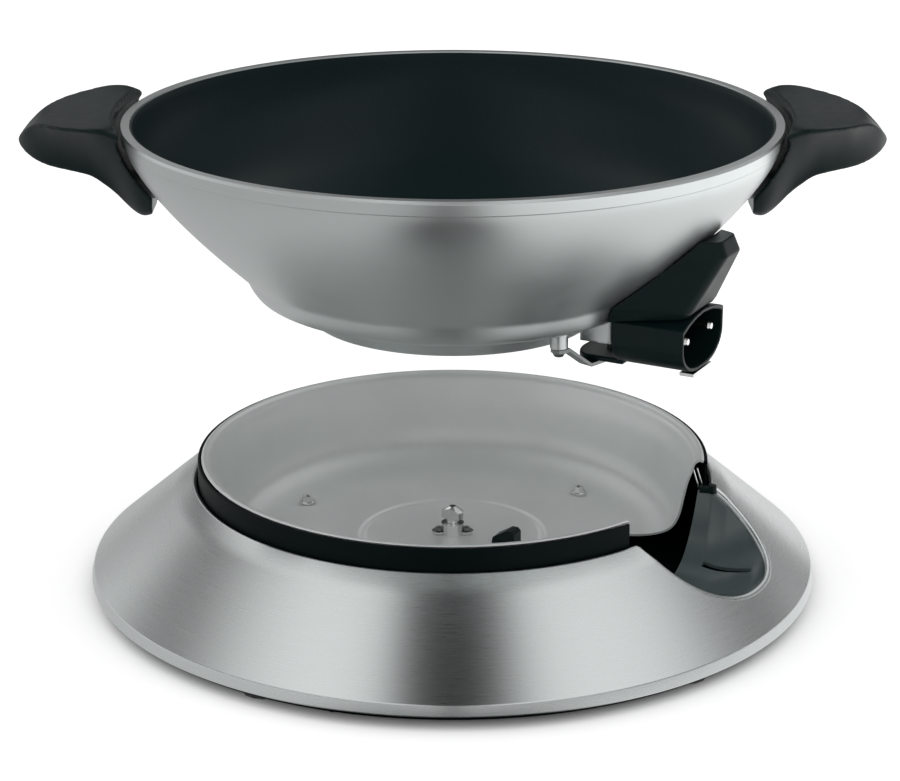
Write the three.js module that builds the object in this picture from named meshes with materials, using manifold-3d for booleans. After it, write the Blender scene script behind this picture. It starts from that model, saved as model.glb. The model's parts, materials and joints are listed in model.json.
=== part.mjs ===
// Electric wok lifted off its base: a cast bowl with handles and a probe socket, over a
// brushed skirt base with a heat reflector, a scooped bay and a quick release lock.
// Millimetres, +Z up, the base axis on Z and the feet on z = 0.
import * as THREE from 'three';
import { mergeVertices } from 'three/addons/utils/BufferGeometryUtils.js';
import Module from 'manifold-3d';

const wasm = await Module();
wasm.setup();

// General fits and counts
const clearance = 0.3;
const runningFit = 0.4;
const overrun = 2;
const weld = 0.0001;
const roundSteps = 40;
const smallSteps = 14;
const screwSteps = 8;
const domeSteps = 2;
const slotSteps = 4;
const cornerSteps = 2;
const nutSides = 6;
const rightAngle = 90;
const halfTurn = rightAngle * 2;
const fullTurn = halfTurn * 2;
const quarter = Math.PI / 2;
const degree = Math.PI / halfTurn;

// How far the bowl hangs above the base, and where the bay points
const liftHeight = 131;
const bayAzimuth = -28;

// Wok bowl, heights are depths below the rim plane
const rimRadius = 186;
const rimWidth = 5.5;
const rimEdge = 0.8;
const rimBand = 8.5;
const rimDraft = 1.2;
const creaseStep = 0.7;
const bowlHeight = 114.5;
const bulgeRise = 26.5;
const bulgeSpread = 26.9;
const undersideRadiusShares = [0.76, 0.9, 0.965];
const undersideHeightShares = [0.27, 0.5, 0.8];
const wallPower = 1.35;
const wallSteps = 6;
const footSpread = 95.5;
const footDraft = 8.5;
const footHeight = 11.5;
const footWaistRadiusShare = 0.88;
const footWaistHeightShare = 0.72;
const footWall = 5;
const recessHeight = 16.5;
const bowlWall = 5;
const bowlFloorRise = 30.5;
const innerBlendShare = 0.655;
const innerBlendSteps = 3;
const floorDepthShares = [0.79, 0.9, 0.97, 1];
const floorRadiusShares = [0.885, 0.71, 0.5, 0.27];
const liningThickness = 1;

// Cast pad that the element ends leave through, along the bay
const padInnerStep = 1.5;
const padLength = 20;
const padHalfWidth = 24;
const padRise = 3.5;
const padHeight = 20;
const padCorner = 4;

// Heating element cast into the base of the bowl
const elementStep = 8.5;
const elementRise = 17.5;
const elementTube = 7;
const elementTurnIn = 14;
const elementSteps = 28;
const elementArcSteps = 20;
const elementBendShare = 0.33;
const elementSides = 8;
const terminalRise = 9.5;
const terminalSpacing = 33;

// Probe socket under the bowl
const socketHalfWidth = 28.8;
const socketRise = 18.5;
const socketArch = 5.5;
const socketSide = 11;
const socketDepth = 28;
const socketBottomPower = 0.8;
const socketWall = 2.2;
const socketInnerStep = 22.5;
const socketLength = 42.4;
const socketArcSteps = 8;
const tongueReach = 29;
const tongueHeight = 9;
const tongueHalfWidth = 17;
const tongueThickness = 3;
const blockLength = 9;
const blockInset = 1.2;
const pinDiameter = 5;
const pinInset = 1.9;
const pinTaper = 1.6;
const lipWidth = 26;
const lipLength = 8;
const lipThickness = 1.8;

// Fixing lug and strap of the socket
const lugInset = 2.5;
const lugOffset = 42;
const lugDiameter = 10;
const lugRise = 3.5;
const lugHoleDepth = 6.5;
const strapWidth = 9;
const strapThickness = 2;
const strapBolt = 4;
const strapBoltHead = 7.4;
const strapBoltHeadHeight = 2.4;
const strapBoltLength = 8;
const strapEndStep = 13;

// Heat guard between the bowl and the socket
const guardInnerStep = 8;
const guardInset = 5.4;
const guardLean = 21.5;
const guardHeight = 47.5;
const guardRootHalf = 37;
const guardFaceHalf = 15.5;
const guardRiseShares = [0, 0.17, 0.82, 1];
const guardLeanShares = [0, 0.26, 1, 0.84];
const guardRootShares = [0.89, 1, 1, 1];
const guardFaceShares = [1, 1, 0.52, 0.45];
const guardWall = 2.4;
const guardRound = 6;
const guardRoundSteps = 4;
const guardGap = 0.8;

// Handles, stations run outward from the bowl axis
const handleReach = 75.2;
const handleHalfWidth = 58;
const handleRise = 6.8;
const handleDrop = 55;
const handleGap = 4;
const handleRootInset = 19.3;
const handleDish = 2.6;
const handleEdge = 1.6;
const handleStationShares = [0, 0.2, 0.24, 0.28, 0.33, 0.4, 0.46, 0.53,
  0.6, 0.71, 0.79, 0.87, 0.94, 0.985, 1];
const handleWidthShares = [0.97, 0.98, 0.98, 0.98, 0.99, 1, 1, 0.97,
  0.9, 0.75, 0.59, 0.41, 0.25, 0.11, 0.03];
const handleTopShares = [1, 1, 1, 1, 1, 0.98, 0.96, 0.92, 0.83, 0.66, 0.5, 0.12, -0.66, -1.4, -1.9];
const handleDroopShares = [1.6, 1.3, 1.15, 0.95, 0.6, 0.2, 0.05, 0, 0, 0, 0, 0, 0, 0, 0];
const handleBottomShares = [0.93, 0.985, 1, 0.973, 0.89, 0.74, 0.635, 0.54,
  0.5, 0.465, 0.44, 0.4, 0.345, 0.285, 0.23];
const handleKeelShares = [0.33, 0.33, 0.33, 0.34, 0.37, 0.43, 0.48, 0.51,
  0.51, 0.46, 0.4, 0.31, 0.19, 0.08, 0.025];
const handleSidePowers = [0.8, 0.8, 0.8, 0.8, 0.9, 1.1, 1.3, 1.5,
  1.6, 1.7, 1.7, 1.7, 1.7, 1.7, 1.7];
const handleTopSteps = 8;
const handleSideSteps = 5;
const handleKeelSteps = 4;
const bracketHalfWidth = 13;
const bracketTop = 27;
const bracketArmBottom = 44;
const bracketBottom = 53;
const bracketWallGap = 1.1122;
const bracketLength = 4.7;
const handleTailGap = 0.2;
const handleScrewSpacing = 14;
const handleScrewDepth = 36;
const handleScrewShank = 4;
const handleScrewHead = 7.5;
const handleScrewHeadHeight = 3;
const handleScrewStep = 6;
const handleScrewGrip = 9;

// Lock plate inside the foot ring of the bowl
const lockPlateThickness = 2;
const lockPlateInset = 0.4;
const keyholeSlack = 1;
const keySlotSlack = 1.5;
const plateScrewInset = 20;
const plateScrewCount = 3;
const plateScrewShank = 3.6;
const plateScrewHead = 7;
const plateScrewHeadHeight = 2.2;
const plateScrewLength = 8;
const plateBossDiameter = 9;
const plateScrewTurn = 32;

// Skirt of the base
const skirtSpread = 51.4;
const skirtBottom = 7;
const skirtEdgeDraft = 1.7;
const skirtCrease = 13.5;
const skirtShoulderStep = 9.8;
const skirtShoulder = 56;
const skirtTopStep = 2.7;
const skirtTop = 62.6;
const skirtLipWidth = 1.9;
const skirtLipDrop = 1.6;
const skirtWall = 1.2;
const hemWidth = 11;

// Cut-out of the skirt, in the frame of the bay
const cutStartInset = 8.3;
const cutReachShare = 0.5915;
const cutHalfWidth = 50.5;
const cutPower = 2.25;
const cutSteps = 24;

// Scooped tray under the cut-out
const trayInnerInset = 12.5;
const trayFloor = 15.5;
const trayRim = 61;
const trayThickness = 2;
const trayPower = 3.5;
const trayReachLimit = 1.12;
const trayAlongSteps = 10;
const trayAcrossSteps = 14;
const trayTipFloor = 25;
const traySlotStartShare = 0.263;
const traySlotEndShare = 0.754;
const traySlotOffset = 24;
const traySlotWidth = 2.4;
const trayLegInset = 7;
const trayLegTipInset = 21;
const trayLegWidth = 8;
const trayLegThickness = 2.4;

// Heat reflector dish
const reflectorRim = 76;
const reflectorRadius = 147.5;
const reflectorFloor = 23;
const reflectorWallWidth = 33.5;
const reflectorWall = 1.2;
const reflectorLip = 1;
const reflectorSlantShare = 0.8;
const reflectorDepthShares = [0.36, 0.64, 0.87, 1];
const reflectorRadiusShares = [0.84, 0.54, 0.22, 0];
const beadRadius = 53.5;
const beadWidth = 3.2;
const beadHeight = 1.2;
const reflectorCentreHole = 10;

// Notch of the reflector and collar, in the frame of the bay
const notchInner = 62;
const notchHalfWidth = 40;
const notchMouthHalfWidth = 52.5;
const notchKneeInset = 29.5;
const notchMouthInset = 19.5;
const notchRound = 18;
const notchRoundSteps = 5;

// Collar round the reflector
const collarStep = 1.6;
const collarWall = 1.5;
const collarTopGap = 0.9;
const clipCount = 4;
const clipTurn = 17;
const clipHeight = 11;
const clipWidth = 9;
const clipTop = 60;

// Bottom pan with vents and the recess of the release lever
const panInset = 5;
const panBottom = 4.4;
const panTop = 6.7;
const panEdge = 1.4;
const panRecessRadius = 66;
const panRecessHeight = 13.6;
const panHub = 9;
const ventCount = 12;
const ventInner = 92;
const ventLength = 34;
const ventWidth = 6;
const ventSteps = 2;
const panScrewInset = 3.5;
const panScrewCount = 5;
const panScrewTurn = 36;
const panScrewShank = 3;
const panScrewHead = 6;
const panScrewHeadHeight = 2;
const panScrewLength = 5;

// Feet
const footCount = 5;
const footTurn = -49.5;
const footInset = 14;
const footDiameter = 24;
const footDome = 1.6;
const footScrewHead = 7;
const footRecess = 2.2;

// Reflector stand-offs and screws
const reflectorScrewAzimuths = [39.4, 151.4, 275.4];
const reflectorScrewInset = 13;
const standoffDiameter = 12;
const reflectorScrewShank = 4;
const reflectorScrewHead = 7.6;
const reflectorScrewHeadHeight = 4;
const reflectorScrewLength = 10;
const reflectorWasher = 1.1;
const reflectorWasherDiameter = 10;

// Lock post, bushing and release lever
const bushingDiameter = 13.6;
const bushingTop = 30;
const bushingFlange = 1.6;
const bushingEarSpacing = 16;
const bushingEarDiameter = 9;
const postDiameter = 7;
const headLength = 14;
const headWidth = 7;
const headHeight = 7.2;
const headRound = 2.2;
const headShoulder = 4;
const headTopWidth = 4.2;
const postNeck = 3.1;
const earScrewShank = 3;
const earScrewHead = 6;
const earScrewHeadHeight = 2;
const earScrewLength = 6;
const leverRadius = 52;
const leverHub = 13;
const leverWidth = 15;
const leverRootWidth = 18;
const leverTipSteps = 6;
const leverThickness = 5;
const leverBottom = 4.6;
const leverRibHeight = 2.2;
const leverRibWidth = 2;
const leverRibLength = 10;
const leverRibCount = 4;
const leverRibPitch = 6;
const leverNutDiameter = 12;
const leverNutHeight = 2.4;

// Locating key on the reflector floor
const keyCentre = 36;
const keyLength = 14;
const keyWidth = 9;
const keyTop = 33;
const keyLowShare = 0.45;
const keyRidge = 5.3;
const keyFlange = 1.8;
const keyFlangeMargin = 2.5;

// Values worked out from the sizes above
const footTopRadius = rimRadius - footSpread;
const bulgeDepth = bowlHeight - bulgeRise;
const bulgeRadius = footTopRadius + bulgeSpread;
const footRadius = footTopRadius - footDraft;
const bowlDepth = bowlHeight - bowlFloorRise;
const innerBlendDepth = bowlDepth * innerBlendShare;
const padDepth = bowlHeight - padRise;
const padRootDepth = padDepth - padHeight;
const padInner = footTopRadius + padInnerStep;
const padOuter = padInner + padLength;
const elementDepth = bowlHeight - elementRise;
const elementRadius = footTopRadius + elementStep;
const terminalDepth = bowlHeight - terminalRise;
const socketTop = bowlHeight - socketRise;
const socketInner = footTopRadius + socketInnerStep;
const socketOuter = socketInner + socketLength;
const tongueInner = socketInner - tongueReach;
const strapEnd = socketInner - strapEndStep;
const pinTip = socketOuter - pinInset;
const lugAlong = footTopRadius - lugInset;
const lugDepth = bowlHeight - lugRise;
const guardInner = socketInner - guardInnerStep;
const guardReach = socketOuter - guardInset;
const plateScrewCircle = footRadius - plateScrewInset;
const bracketInner = wallRadius(handleScrewDepth) + bracketWallGap;
const handleTip = bracketInner + handleReach;
const handleRoot = bracketInner - handleRootInset;
const bracketReach = bracketInner + bracketLength;
const handleTailInner = bracketInner + handleTailGap;
const handleScrewSeat = bracketReach + handleScrewStep;
const reflectorFloorRadius = reflectorRadius - reflectorWallWidth;
const reflectorScrewCircle = reflectorFloorRadius - reflectorScrewInset;
const notchKnee = reflectorRadius - notchKneeInset;
const notchMouth = reflectorRadius - notchMouthInset;
const trayInner = reflectorRadius - trayInnerInset;
const collarRadius = reflectorRadius + collarStep;
const skirtTopRadius = collarRadius + skirtTopStep;
const skirtLipRadius = skirtTopRadius - skirtLipWidth;
const skirtShoulderRadius = skirtTopRadius + skirtShoulderStep;
const skirtBottomRadius = skirtShoulderRadius + skirtSpread;
const cutStart = skirtTopRadius - cutStartInset;
const foot = -bowlHeight;
const rimPlaneSeated = bushingTop + clearance + bowlHeight - lockPlateInset;
const rimPlane = rimPlaneSeated + liftHeight;
const bushingBottom = panRecessHeight + clearance;
const elementEnd = socketInner + socketWall + blockLength / 2;
const skirtCreaseRadius = skirtBottomRadius - skirtEdgeDraft;
const cutTip = skirtShoulderRadius + (skirtBottomRadius - skirtShoulderRadius) * cutReachShare;
const panRadius = skirtBottomRadius - panInset;
const panScrewCircle = panRadius - panScrewInset;
const footCircle = panRadius - footInset;

// Turns three.js geometry into a solid whose shared corners are merged
function solidOf(geometry) {
  const plain = geometry.index ? geometry.toNonIndexed() : geometry.clone();
  plain.deleteAttribute('normal');
  plain.deleteAttribute('uv');
  const merged = mergeVertices(plain, weld);
  const corners = merged.index.array;
  const kept = [];
  for (let i = 0; i < corners.length; i += 3) {
    const [a, b, c] = [corners[i], corners[i + 1], corners[i + 2]];
    if (a !== b && b !== c && c !== a) kept.push(a, b, c);
  }
  if (signedVolume(merged.attributes.position, kept) < 0) kept.reverse();
  const mesh = new wasm.Mesh({
    numProp: 3,
    vertProperties: new Float32Array(merged.attributes.position.array),
    triVerts: new Uint32Array(kept),
  });
  return new wasm.Manifold(mesh);
}

// Six times the volume that the faces close in, negative where they point inward
function signedVolume(position, faces) {
  const corner = [new THREE.Vector3(), new THREE.Vector3(), new THREE.Vector3()];
  let sum = 0;
  for (let i = 0; i < faces.length; i += 3) {
    corner.forEach((point, j) => point.fromBufferAttribute(position, faces[i + j]));
    sum += corner[0].dot(corner[1].cross(corner[2]));
  }
  return sum;
}

// Turns a solid back into three.js geometry
function geometryOf(solid) {
  const mesh = solid.getMesh();
  const geometry = new THREE.BufferGeometry();
  geometry.setAttribute('position', new THREE.BufferAttribute(mesh.vertProperties, 3));
  geometry.setIndex(new THREE.BufferAttribute(mesh.triVerts, 1));
  return geometry;
}

// Revolves a closed outline of [radius, height] points, drawn anticlockwise, round Z
function revolve(outline, steps = roundSteps) {
  const points = outline.map(([radius, height]) => new THREE.Vector2(radius, height));
  points.push(points[0].clone());
  const geometry = new THREE.LatheGeometry(points, steps);
  geometry.rotateX(quarter);
  return solidOf(geometry);
}

// Extrudes a plan outline of [x, y] points from one height to another
function prism(outline, bottom, top) {
  const shape = new THREE.Shape(outline.map(([x, y]) => new THREE.Vector2(x, y)));
  const geometry = new THREE.ExtrudeGeometry(shape, { depth: top - bottom, bevelEnabled: false });
  geometry.translate(0, 0, bottom);
  return solidOf(geometry);
}

function cylinder(diameter, bottom, top, steps = smallSteps, topDiameter = diameter) {
  const geometry = new THREE.CylinderGeometry(topDiameter / 2, diameter / 2, top - bottom, steps);
  geometry.rotateX(quarter);
  geometry.translate(0, 0, (top + bottom) / 2);
  return solidOf(geometry);
}

function box(xLow, xHigh, yLow, yHigh, zLow, zHigh) {
  const geometry = new THREE.BoxGeometry(xHigh - xLow, yHigh - yLow, zHigh - zLow);
  geometry.translate((xLow + xHigh) / 2, (yLow + yHigh) / 2, (zLow + zHigh) / 2);
  return solidOf(geometry);
}

// A dome headed screw standing on z = 0, its shank going down
function domeScrew(headDiameter, headHeight, shankDiameter, length) {
  const outline = [[0, -length], [shankDiameter / 2, -length], [shankDiameter / 2, 0],
    [headDiameter / 2, 0]];
  for (let i = 1; i <= domeSteps; i += 1) {
    const angle = (i / domeSteps) * quarter;
    outline.push([(headDiameter / 2) * Math.cos(angle), headHeight * (1 + Math.sin(angle)) / 2]);
  }
  outline[outline.length - 1][0] = 0;
  return revolve(outline, screwSteps);
}

// Skins a stack of closed rings that all have the same number of points
function loft(rings) {
  const count = rings[0].length;
  const positions = rings.flat(2);
  const faces = [];
  for (let i = 0; i < rings.length - 1; i += 1) {
    for (let j = 0; j < count; j += 1) {
      const a = i * count + j;
      const b = i * count + ((j + 1) % count);
      faces.push(a, b, a + count, b, b + count, a + count);
    }
  }
  const last = (rings.length - 1) * count;
  for (const [start, flip] of [[0, true], [last, false]]) {
    const centre = positions.length / 3;
    const ring = rings[start / count];
    for (let axis = 0; axis < 3; axis += 1) {
      positions.push(ring.reduce((sum, point) => sum + point[axis], 0) / count);
    }
    for (let j = 0; j < count; j += 1) {
      const a = start + j;
      const b = start + ((j + 1) % count);
      faces.push(...(flip ? [b, a, centre] : [a, b, centre]));
    }
  }
  const geometry = new THREE.BufferGeometry();
  geometry.setAttribute('position', new THREE.Float32BufferAttribute(positions, 3));
  geometry.setIndex(faces);
  return solidOf(geometry);
}

// Turns a solid made with the bay along +X to the azimuth of the bay
function toBay(solid) {
  return solid.rotate([0, 0, bayAzimuth]);
}

// Turns a place in plan round the axis, in degrees
function turned([x, y], turn) {
  const angle = turn * degree;
  return [x * Math.cos(angle) - y * Math.sin(angle), x * Math.sin(angle) + y * Math.cos(angle)];
}

function union(solids) {
  return solids.reduce((whole, solid) => whole.add(solid));
}

// The points of a circular arc, angles in degrees
function arc(centreX, centreY, radiusX, radiusY, from, to, steps) {
  return Array.from({ length: steps + 1 }, (_, i) => {
    const angle = (from + (to - from) * (i / steps)) * degree;
    return [centreX + radiusX * Math.cos(angle), centreY + radiusY * Math.sin(angle)];
  });
}

function slotOutline(length, width, steps = slotSteps) {
  const reach = (length - width) / 2;
  return [...arc(reach, 0, width / 2, width / 2, -rightAngle, rightAngle, steps),
    ...arc(-reach, 0, width / 2, width / 2, rightAngle, rightAngle + halfTurn, steps)];
}

// Bowl wall radius at a depth below the rim plane
function wallRadius(depth) {
  const bandRadius = rimRadius - rimDraft - creaseStep;
  const share = Math.min(Math.max((depth - rimBand) / (bulgeDepth - rimBand), 0), 1);
  return bulgeRadius + (bandRadius - bulgeRadius) * (1 - share ** wallPower);
}

// Outer outline of the bowl from the foot to the rim, moved out by a gap
function bowlOuter(gap = 0) {
  const underside = bowlHeight - footHeight - bulgeDepth;
  const points = [
    [footRadius + gap, foot],
    [footRadius + (footTopRadius - footRadius) * footWaistRadiusShare + gap,
      foot + footHeight * footWaistHeightShare],
    [footTopRadius + gap, foot + footHeight],
  ];
  undersideRadiusShares.forEach((share, i) => {
    points.push([footTopRadius + (bulgeRadius - footTopRadius) * share + gap,
      foot + footHeight + underside * undersideHeightShares[i]]);
  });
  for (let i = wallSteps; i >= 0; i -= 1) {
    const depth = rimBand + (bulgeDepth - rimBand) * (i / wallSteps);
    points.push([wallRadius(depth) + gap, -depth]);
  }
  points.push([rimRadius - rimDraft + gap, -rimBand + creaseStep]);
  points.push([rimRadius + gap, -rimEdge]);
  return points;
}

// Solid of the whole bowl, its outside moved out by a gap
function bowlSpace(gap) {
  return revolve([[0, foot], ...bowlOuter(gap), [0, 0]]);
}

// Inner outline of the bowl from the rim down to the axis, moved in by an inset
function bowlInner(inset = 0) {
  const points = [[rimRadius - rimWidth - inset, 0]];
  for (let i = 1; i <= innerBlendSteps; i += 1) {
    const depth = innerBlendDepth * (i / innerBlendSteps);
    points.push([wallRadius(depth) - bowlWall - inset, -depth]);
  }
  const blend = wallRadius(innerBlendDepth) - bowlWall;
  floorDepthShares.forEach((share, i) => {
    points.push([blend * floorRadiusShares[i] - inset / 2, -bowlDepth * share + inset]);
  });
  points.push([0, -bowlDepth + inset]);
  return points;
}

// Route of the element: a ring open towards the bay, with both ends led out to the socket
function elementPath() {
  const side = terminalSpacing / 2;
  const bendHeight = -terminalDepth + (terminalDepth - elementDepth) * elementBendShare;
  const open = Math.asin((side + elementTurnIn) / elementRadius);
  const points = [];
  const ends = (sign) => [
    new THREE.Vector3(elementEnd, sign * side, -terminalDepth),
    new THREE.Vector3(padOuter, sign * side, -terminalDepth),
    new THREE.Vector3((padOuter + elementRadius) / 2, sign * side, bendHeight),
  ];
  points.push(...ends(1));
  for (let i = 0; i <= elementArcSteps; i += 1) {
    const angle = open + (Math.PI - open) * 2 * (i / elementArcSteps);
    const [x, y] = [elementRadius * Math.cos(angle), elementRadius * Math.sin(angle)];
    points.push(new THREE.Vector3(x, y, -elementDepth));
  }
  points.push(...ends(-1).reverse());
  return new THREE.CatmullRomCurve3(points, false, 'centripetal');
}

function elementSolid(diameter) {
  const shape = new THREE.Shape();
  arc(0, 0, diameter / 2, diameter / 2, 0, fullTurn, elementSides).slice(0, -1).forEach(([x, y], i) => {
    if (i === 0) shape.moveTo(x, y);
    else shape.lineTo(x, y);
  });
  const geometry = new THREE.ExtrudeGeometry(shape, { steps: elementSteps, extrudePath: elementPath() });
  return solidOf(geometry);
}

// Cast bowl with its foot ring, element tunnel, terminal pad, lug and lock plate bosses
function wokBowl() {
  const recessTop = foot + recessHeight;
  const profile = [[0, recessTop], [footRadius - footWall, recessTop], [footRadius - footWall, foot],
    ...bowlOuter(), [rimRadius - rimEdge, 0], ...bowlInner()];
  let solid = revolve(profile);
  const padOutline = [[padInner, -padHalfWidth], [padOuter - padCorner, -padHalfWidth],
    [padOuter, -padHalfWidth + padCorner], [padOuter, padHalfWidth - padCorner],
    [padOuter - padCorner, padHalfWidth], [padInner, padHalfWidth]];
  solid = solid.add(toBay(prism(padOutline, -padDepth, -padRootDepth)));
  const lug = cylinder(lugDiameter, -lugDepth, recessTop - overrun).translate([lugAlong, -lugOffset, 0]);
  const lugHole = cylinder(strapBolt + clearance * 2, -lugDepth - overrun, -lugDepth + lugHoleDepth,
    screwSteps).translate([lugAlong, -lugOffset, 0]);
  solid = solid.add(toBay(lug)).subtract(toBay(lugHole));
  solid = solid.subtract(toBay(elementSolid(elementTube + clearance * 2)));
  const bossBottom = foot + lockPlateInset + lockPlateThickness + clearance;
  for (const [x, y] of plateScrewPlaces()) {
    const boss = cylinder(plateBossDiameter, bossBottom, recessTop + overrun, screwSteps);
    const hole = cylinder(plateScrewShank + clearance * 2, bossBottom - overrun, recessTop - overrun,
      screwSteps);
    solid = solid.add(boss.translate([x, y, 0])).subtract(hole.translate([x, y, 0]));
  }
  return solid;
}

function plateScrewPlaces() {
  return ringPlaces(plateScrewCount, plateScrewCircle, plateScrewTurn);
}

function nonstickLining() {
  const outer = bowlInner(clearance);
  const inner = bowlInner(clearance + liningThickness);
  outer[0][1] = -rimEdge;
  inner[0][1] = -rimEdge;
  return revolve([...outer.reverse(), ...inner]);
}

// Outline of the socket across the bay: arched top, straight sides, rounded bottom
function socketOutline(inset = 0) {
  const half = socketHalfWidth - inset;
  const corner = -socketTop - inset;
  const sideEnd = -socketTop - socketSide;
  const bottomRise = socketDepth - socketSide - inset;
  const points = [];
  for (let i = 0; i <= socketArcSteps; i += 1) {
    const across = 1 - 2 * (i / socketArcSteps);
    points.push([half * across, corner + socketArch * (1 - across ** 2)]);
  }
  for (let i = 0; i <= socketArcSteps; i += 1) {
    const angle = Math.PI + Math.PI * (i / socketArcSteps);
    const across = Math.sign(Math.cos(angle)) * Math.abs(Math.cos(angle)) ** socketBottomPower;
    points.push([half * across, sideEnd + bottomRise * Math.sin(angle)]);
  }
  return points;
}

// Extrudes a side view of [x, z] points over a width centred on Y
function sideways(outline, width) {
  const shape = new THREE.Shape(outline.map(([x, z]) => new THREE.Vector2(x, z)));
  const geometry = new THREE.ExtrudeGeometry(shape, { depth: width, bevelEnabled: false });
  geometry.rotateX(quarter);
  geometry.translate(0, width / 2, 0);
  return solidOf(geometry);
}

// Extrudes an outline drawn across the bay along the bay, from inner to outer
function alongBay(outline, inner, outer) {
  const shape = new THREE.Shape(outline.map(([x, y]) => new THREE.Vector2(x, y)));
  const geometry = new THREE.ExtrudeGeometry(shape, { depth: outer - inner, bevelEnabled: false });
  geometry.rotateX(quarter);
  geometry.rotateZ(quarter);
  geometry.translate(inner, 0, 0);
  return solidOf(geometry);
}

function probeSocket() {
  let solid = alongBay(socketOutline(), socketInner, socketOuter);
  const cavity = alongBay(socketOutline(socketWall), socketInner + socketWall, socketOuter + overrun);
  solid = solid.subtract(cavity);
  const bottom = -socketTop - socketDepth;
  const tongue = box(tongueInner + tongueHeight, socketInner + socketWall, -tongueHalfWidth, tongueHalfWidth,
    bottom, bottom + tongueThickness);
  const nose = cylinder(tongueHalfWidth * 2, bottom, bottom + tongueThickness)
    .scale([tongueHeight / tongueHalfWidth, 1, 1]).translate([tongueInner + tongueHeight, 0, 0]);
  const web = box(padOuter + clearance, socketInner + overrun, -tongueHalfWidth, tongueHalfWidth,
    bottom, bottom + tongueHeight);
  solid = union([solid, tongue, nose, web]);
  solid = solid.subtract(elementSolid(elementTube + clearance * 2));
  const screwHole = cylinder(strapBolt + clearance * 2, bottom - overrun,
    bottom + tongueThickness + overrun, screwSteps).translate([strapEnd, 0, 0]);
  return toBay(solid.subtract(screwHole)).subtract(bowlSpace(guardGap));
}

// Block that holds the element ends inside the socket
function terminalBlock() {
  const gap = socketWall + clearance;
  let solid = alongBay(socketOutline(gap + blockInset), socketInner + gap, socketInner + gap + blockLength);
  solid = solid.subtract(elementSolid(elementTube + clearance * 2));
  for (const sign of [1, -1]) {
    const hole = cylinder(pinDiameter + clearance * 2, -overrun, blockLength + overrun, smallSteps)
      .rotate([0, rightAngle, 0]).translate([socketInner + gap, sign * terminalSpacing / 2, -terminalDepth]);
    solid = solid.subtract(hole);
  }
  return toBay(solid).subtract(bowlSpace(guardGap));
}

// Connector pin with a chamfered tip, face to face with the end of the element
function terminalPin(sign) {
  const length = pinTip - elementEnd - clearance;
  const outline = [[0, 0], [pinDiameter / 2, 0], [pinDiameter / 2, length - pinTaper],
    [pinDiameter / 2 - pinTaper / 2, length], [0, length]];
  return toBay(revolve(outline, smallSteps).rotate([0, rightAngle, 0])
    .translate([elementEnd + clearance, sign * terminalSpacing / 2, -terminalDepth]));
}

// Bare metal lip turned down under the mouth of the socket
function socketLip() {
  const bottom = -socketTop - socketDepth - clearance;
  const plate = box(socketOuter - lipLength, socketOuter + clearance, -lipWidth / 2, lipWidth / 2,
    bottom - lipThickness, bottom);
  return toBay(plate);
}

// Bent strap from the lug down to the underside of the tongue
function socketStrap() {
  const [top, low] = strapSeats();
  const length = Math.hypot(strapEnd - lugAlong, lugOffset);
  const slope = Math.atan2(lugOffset, strapEnd - lugAlong) / degree;
  const half = strapWidth / 2;
  const upper = [[-half, top], [half, top], [length - tongueHalfWidth - strapThickness * 2, low],
    [length + half, low]];
  const lower = upper.map(([along, height]) => [along, height - strapThickness]);
  let solid = sideways([...lower, ...upper.reverse()], strapWidth)
    .intersect(prism(slotOutline(length + strapWidth, strapWidth), low - strapWidth, top + strapWidth)
      .translate([length / 2, 0, 0]));
  for (const along of [0, length]) {
    solid = solid.subtract(cylinder(strapBolt + clearance * 2, low - strapWidth, top + strapWidth,
      screwSteps).translate([along, 0, 0]));
  }
  return toBay(solid.rotate([0, 0, slope]).translate([lugAlong, -lugOffset, 0]));
}

// Heights of the top of the strap at the lug and at the tongue
function strapSeats() {
  return [-lugDepth - clearance, -socketTop - socketDepth - clearance];
}

function socketScrew() {
  return domeScrew(strapBoltHead, strapBoltHeadHeight, strapBolt, strapBoltLength).rotate([halfTurn, 0, 0]);
}

function socketScrewPlaces() {
  const [top, low] = strapSeats();
  return [[lugAlong, -lugOffset, top], [strapEnd, 0, low]].map(([along, across, seat]) =>
    [...turned([along, across], bayAzimuth), seat - strapThickness - clearance]);
}

// Hollow shroud between the bowl wall and the socket, open towards the bowl and below
function heatGuard() {
  const last = guardRiseShares.length - 1;
  const body = (inset) => {
    const round = guardRound - inset;
    const inner = guardInner - (inset > 0 ? overrun : 0);
    return loft(guardRiseShares.map((share, i) => {
      const lowered = (i === 0 && inset > 0 ? overrun : 0) + (i === last ? inset : 0);
      const height = guardHeight * share - socketTop - lowered;
      const centre = guardReach + guardLean * guardLeanShares[i] - guardRound;
      const half = guardFaceHalf * guardFaceShares[i];
      const root = guardRootHalf * guardRootShares[i];
      const taper = Math.atan2(root - half, centre - guardInner) / degree;
      return [[inner, inset - root],
        ...arc(centre, -half, round, round, taper - rightAngle, 0, guardRoundSteps),
        ...arc(centre, half, round, round, 0, rightAngle - taper, guardRoundSteps),
        [inner, root - inset]].map(([x, y]) => [x, y, height]);
    }));
  };
  const reach = guardReach + guardLean + overrun;
  const socketSpace = alongBay(socketOutline(-guardGap), guardInner - overrun, reach);
  const padSpace = box(guardInner - overrun, padOuter + guardGap, -padHalfWidth - guardGap,
    padHalfWidth + guardGap, -padDepth, -bulgeDepth);
  const shroud = body(0).subtract(body(guardWall)).subtract(socketSpace).subtract(padSpace);
  return toBay(shroud).subtract(bowlSpace(guardGap));
}

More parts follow.
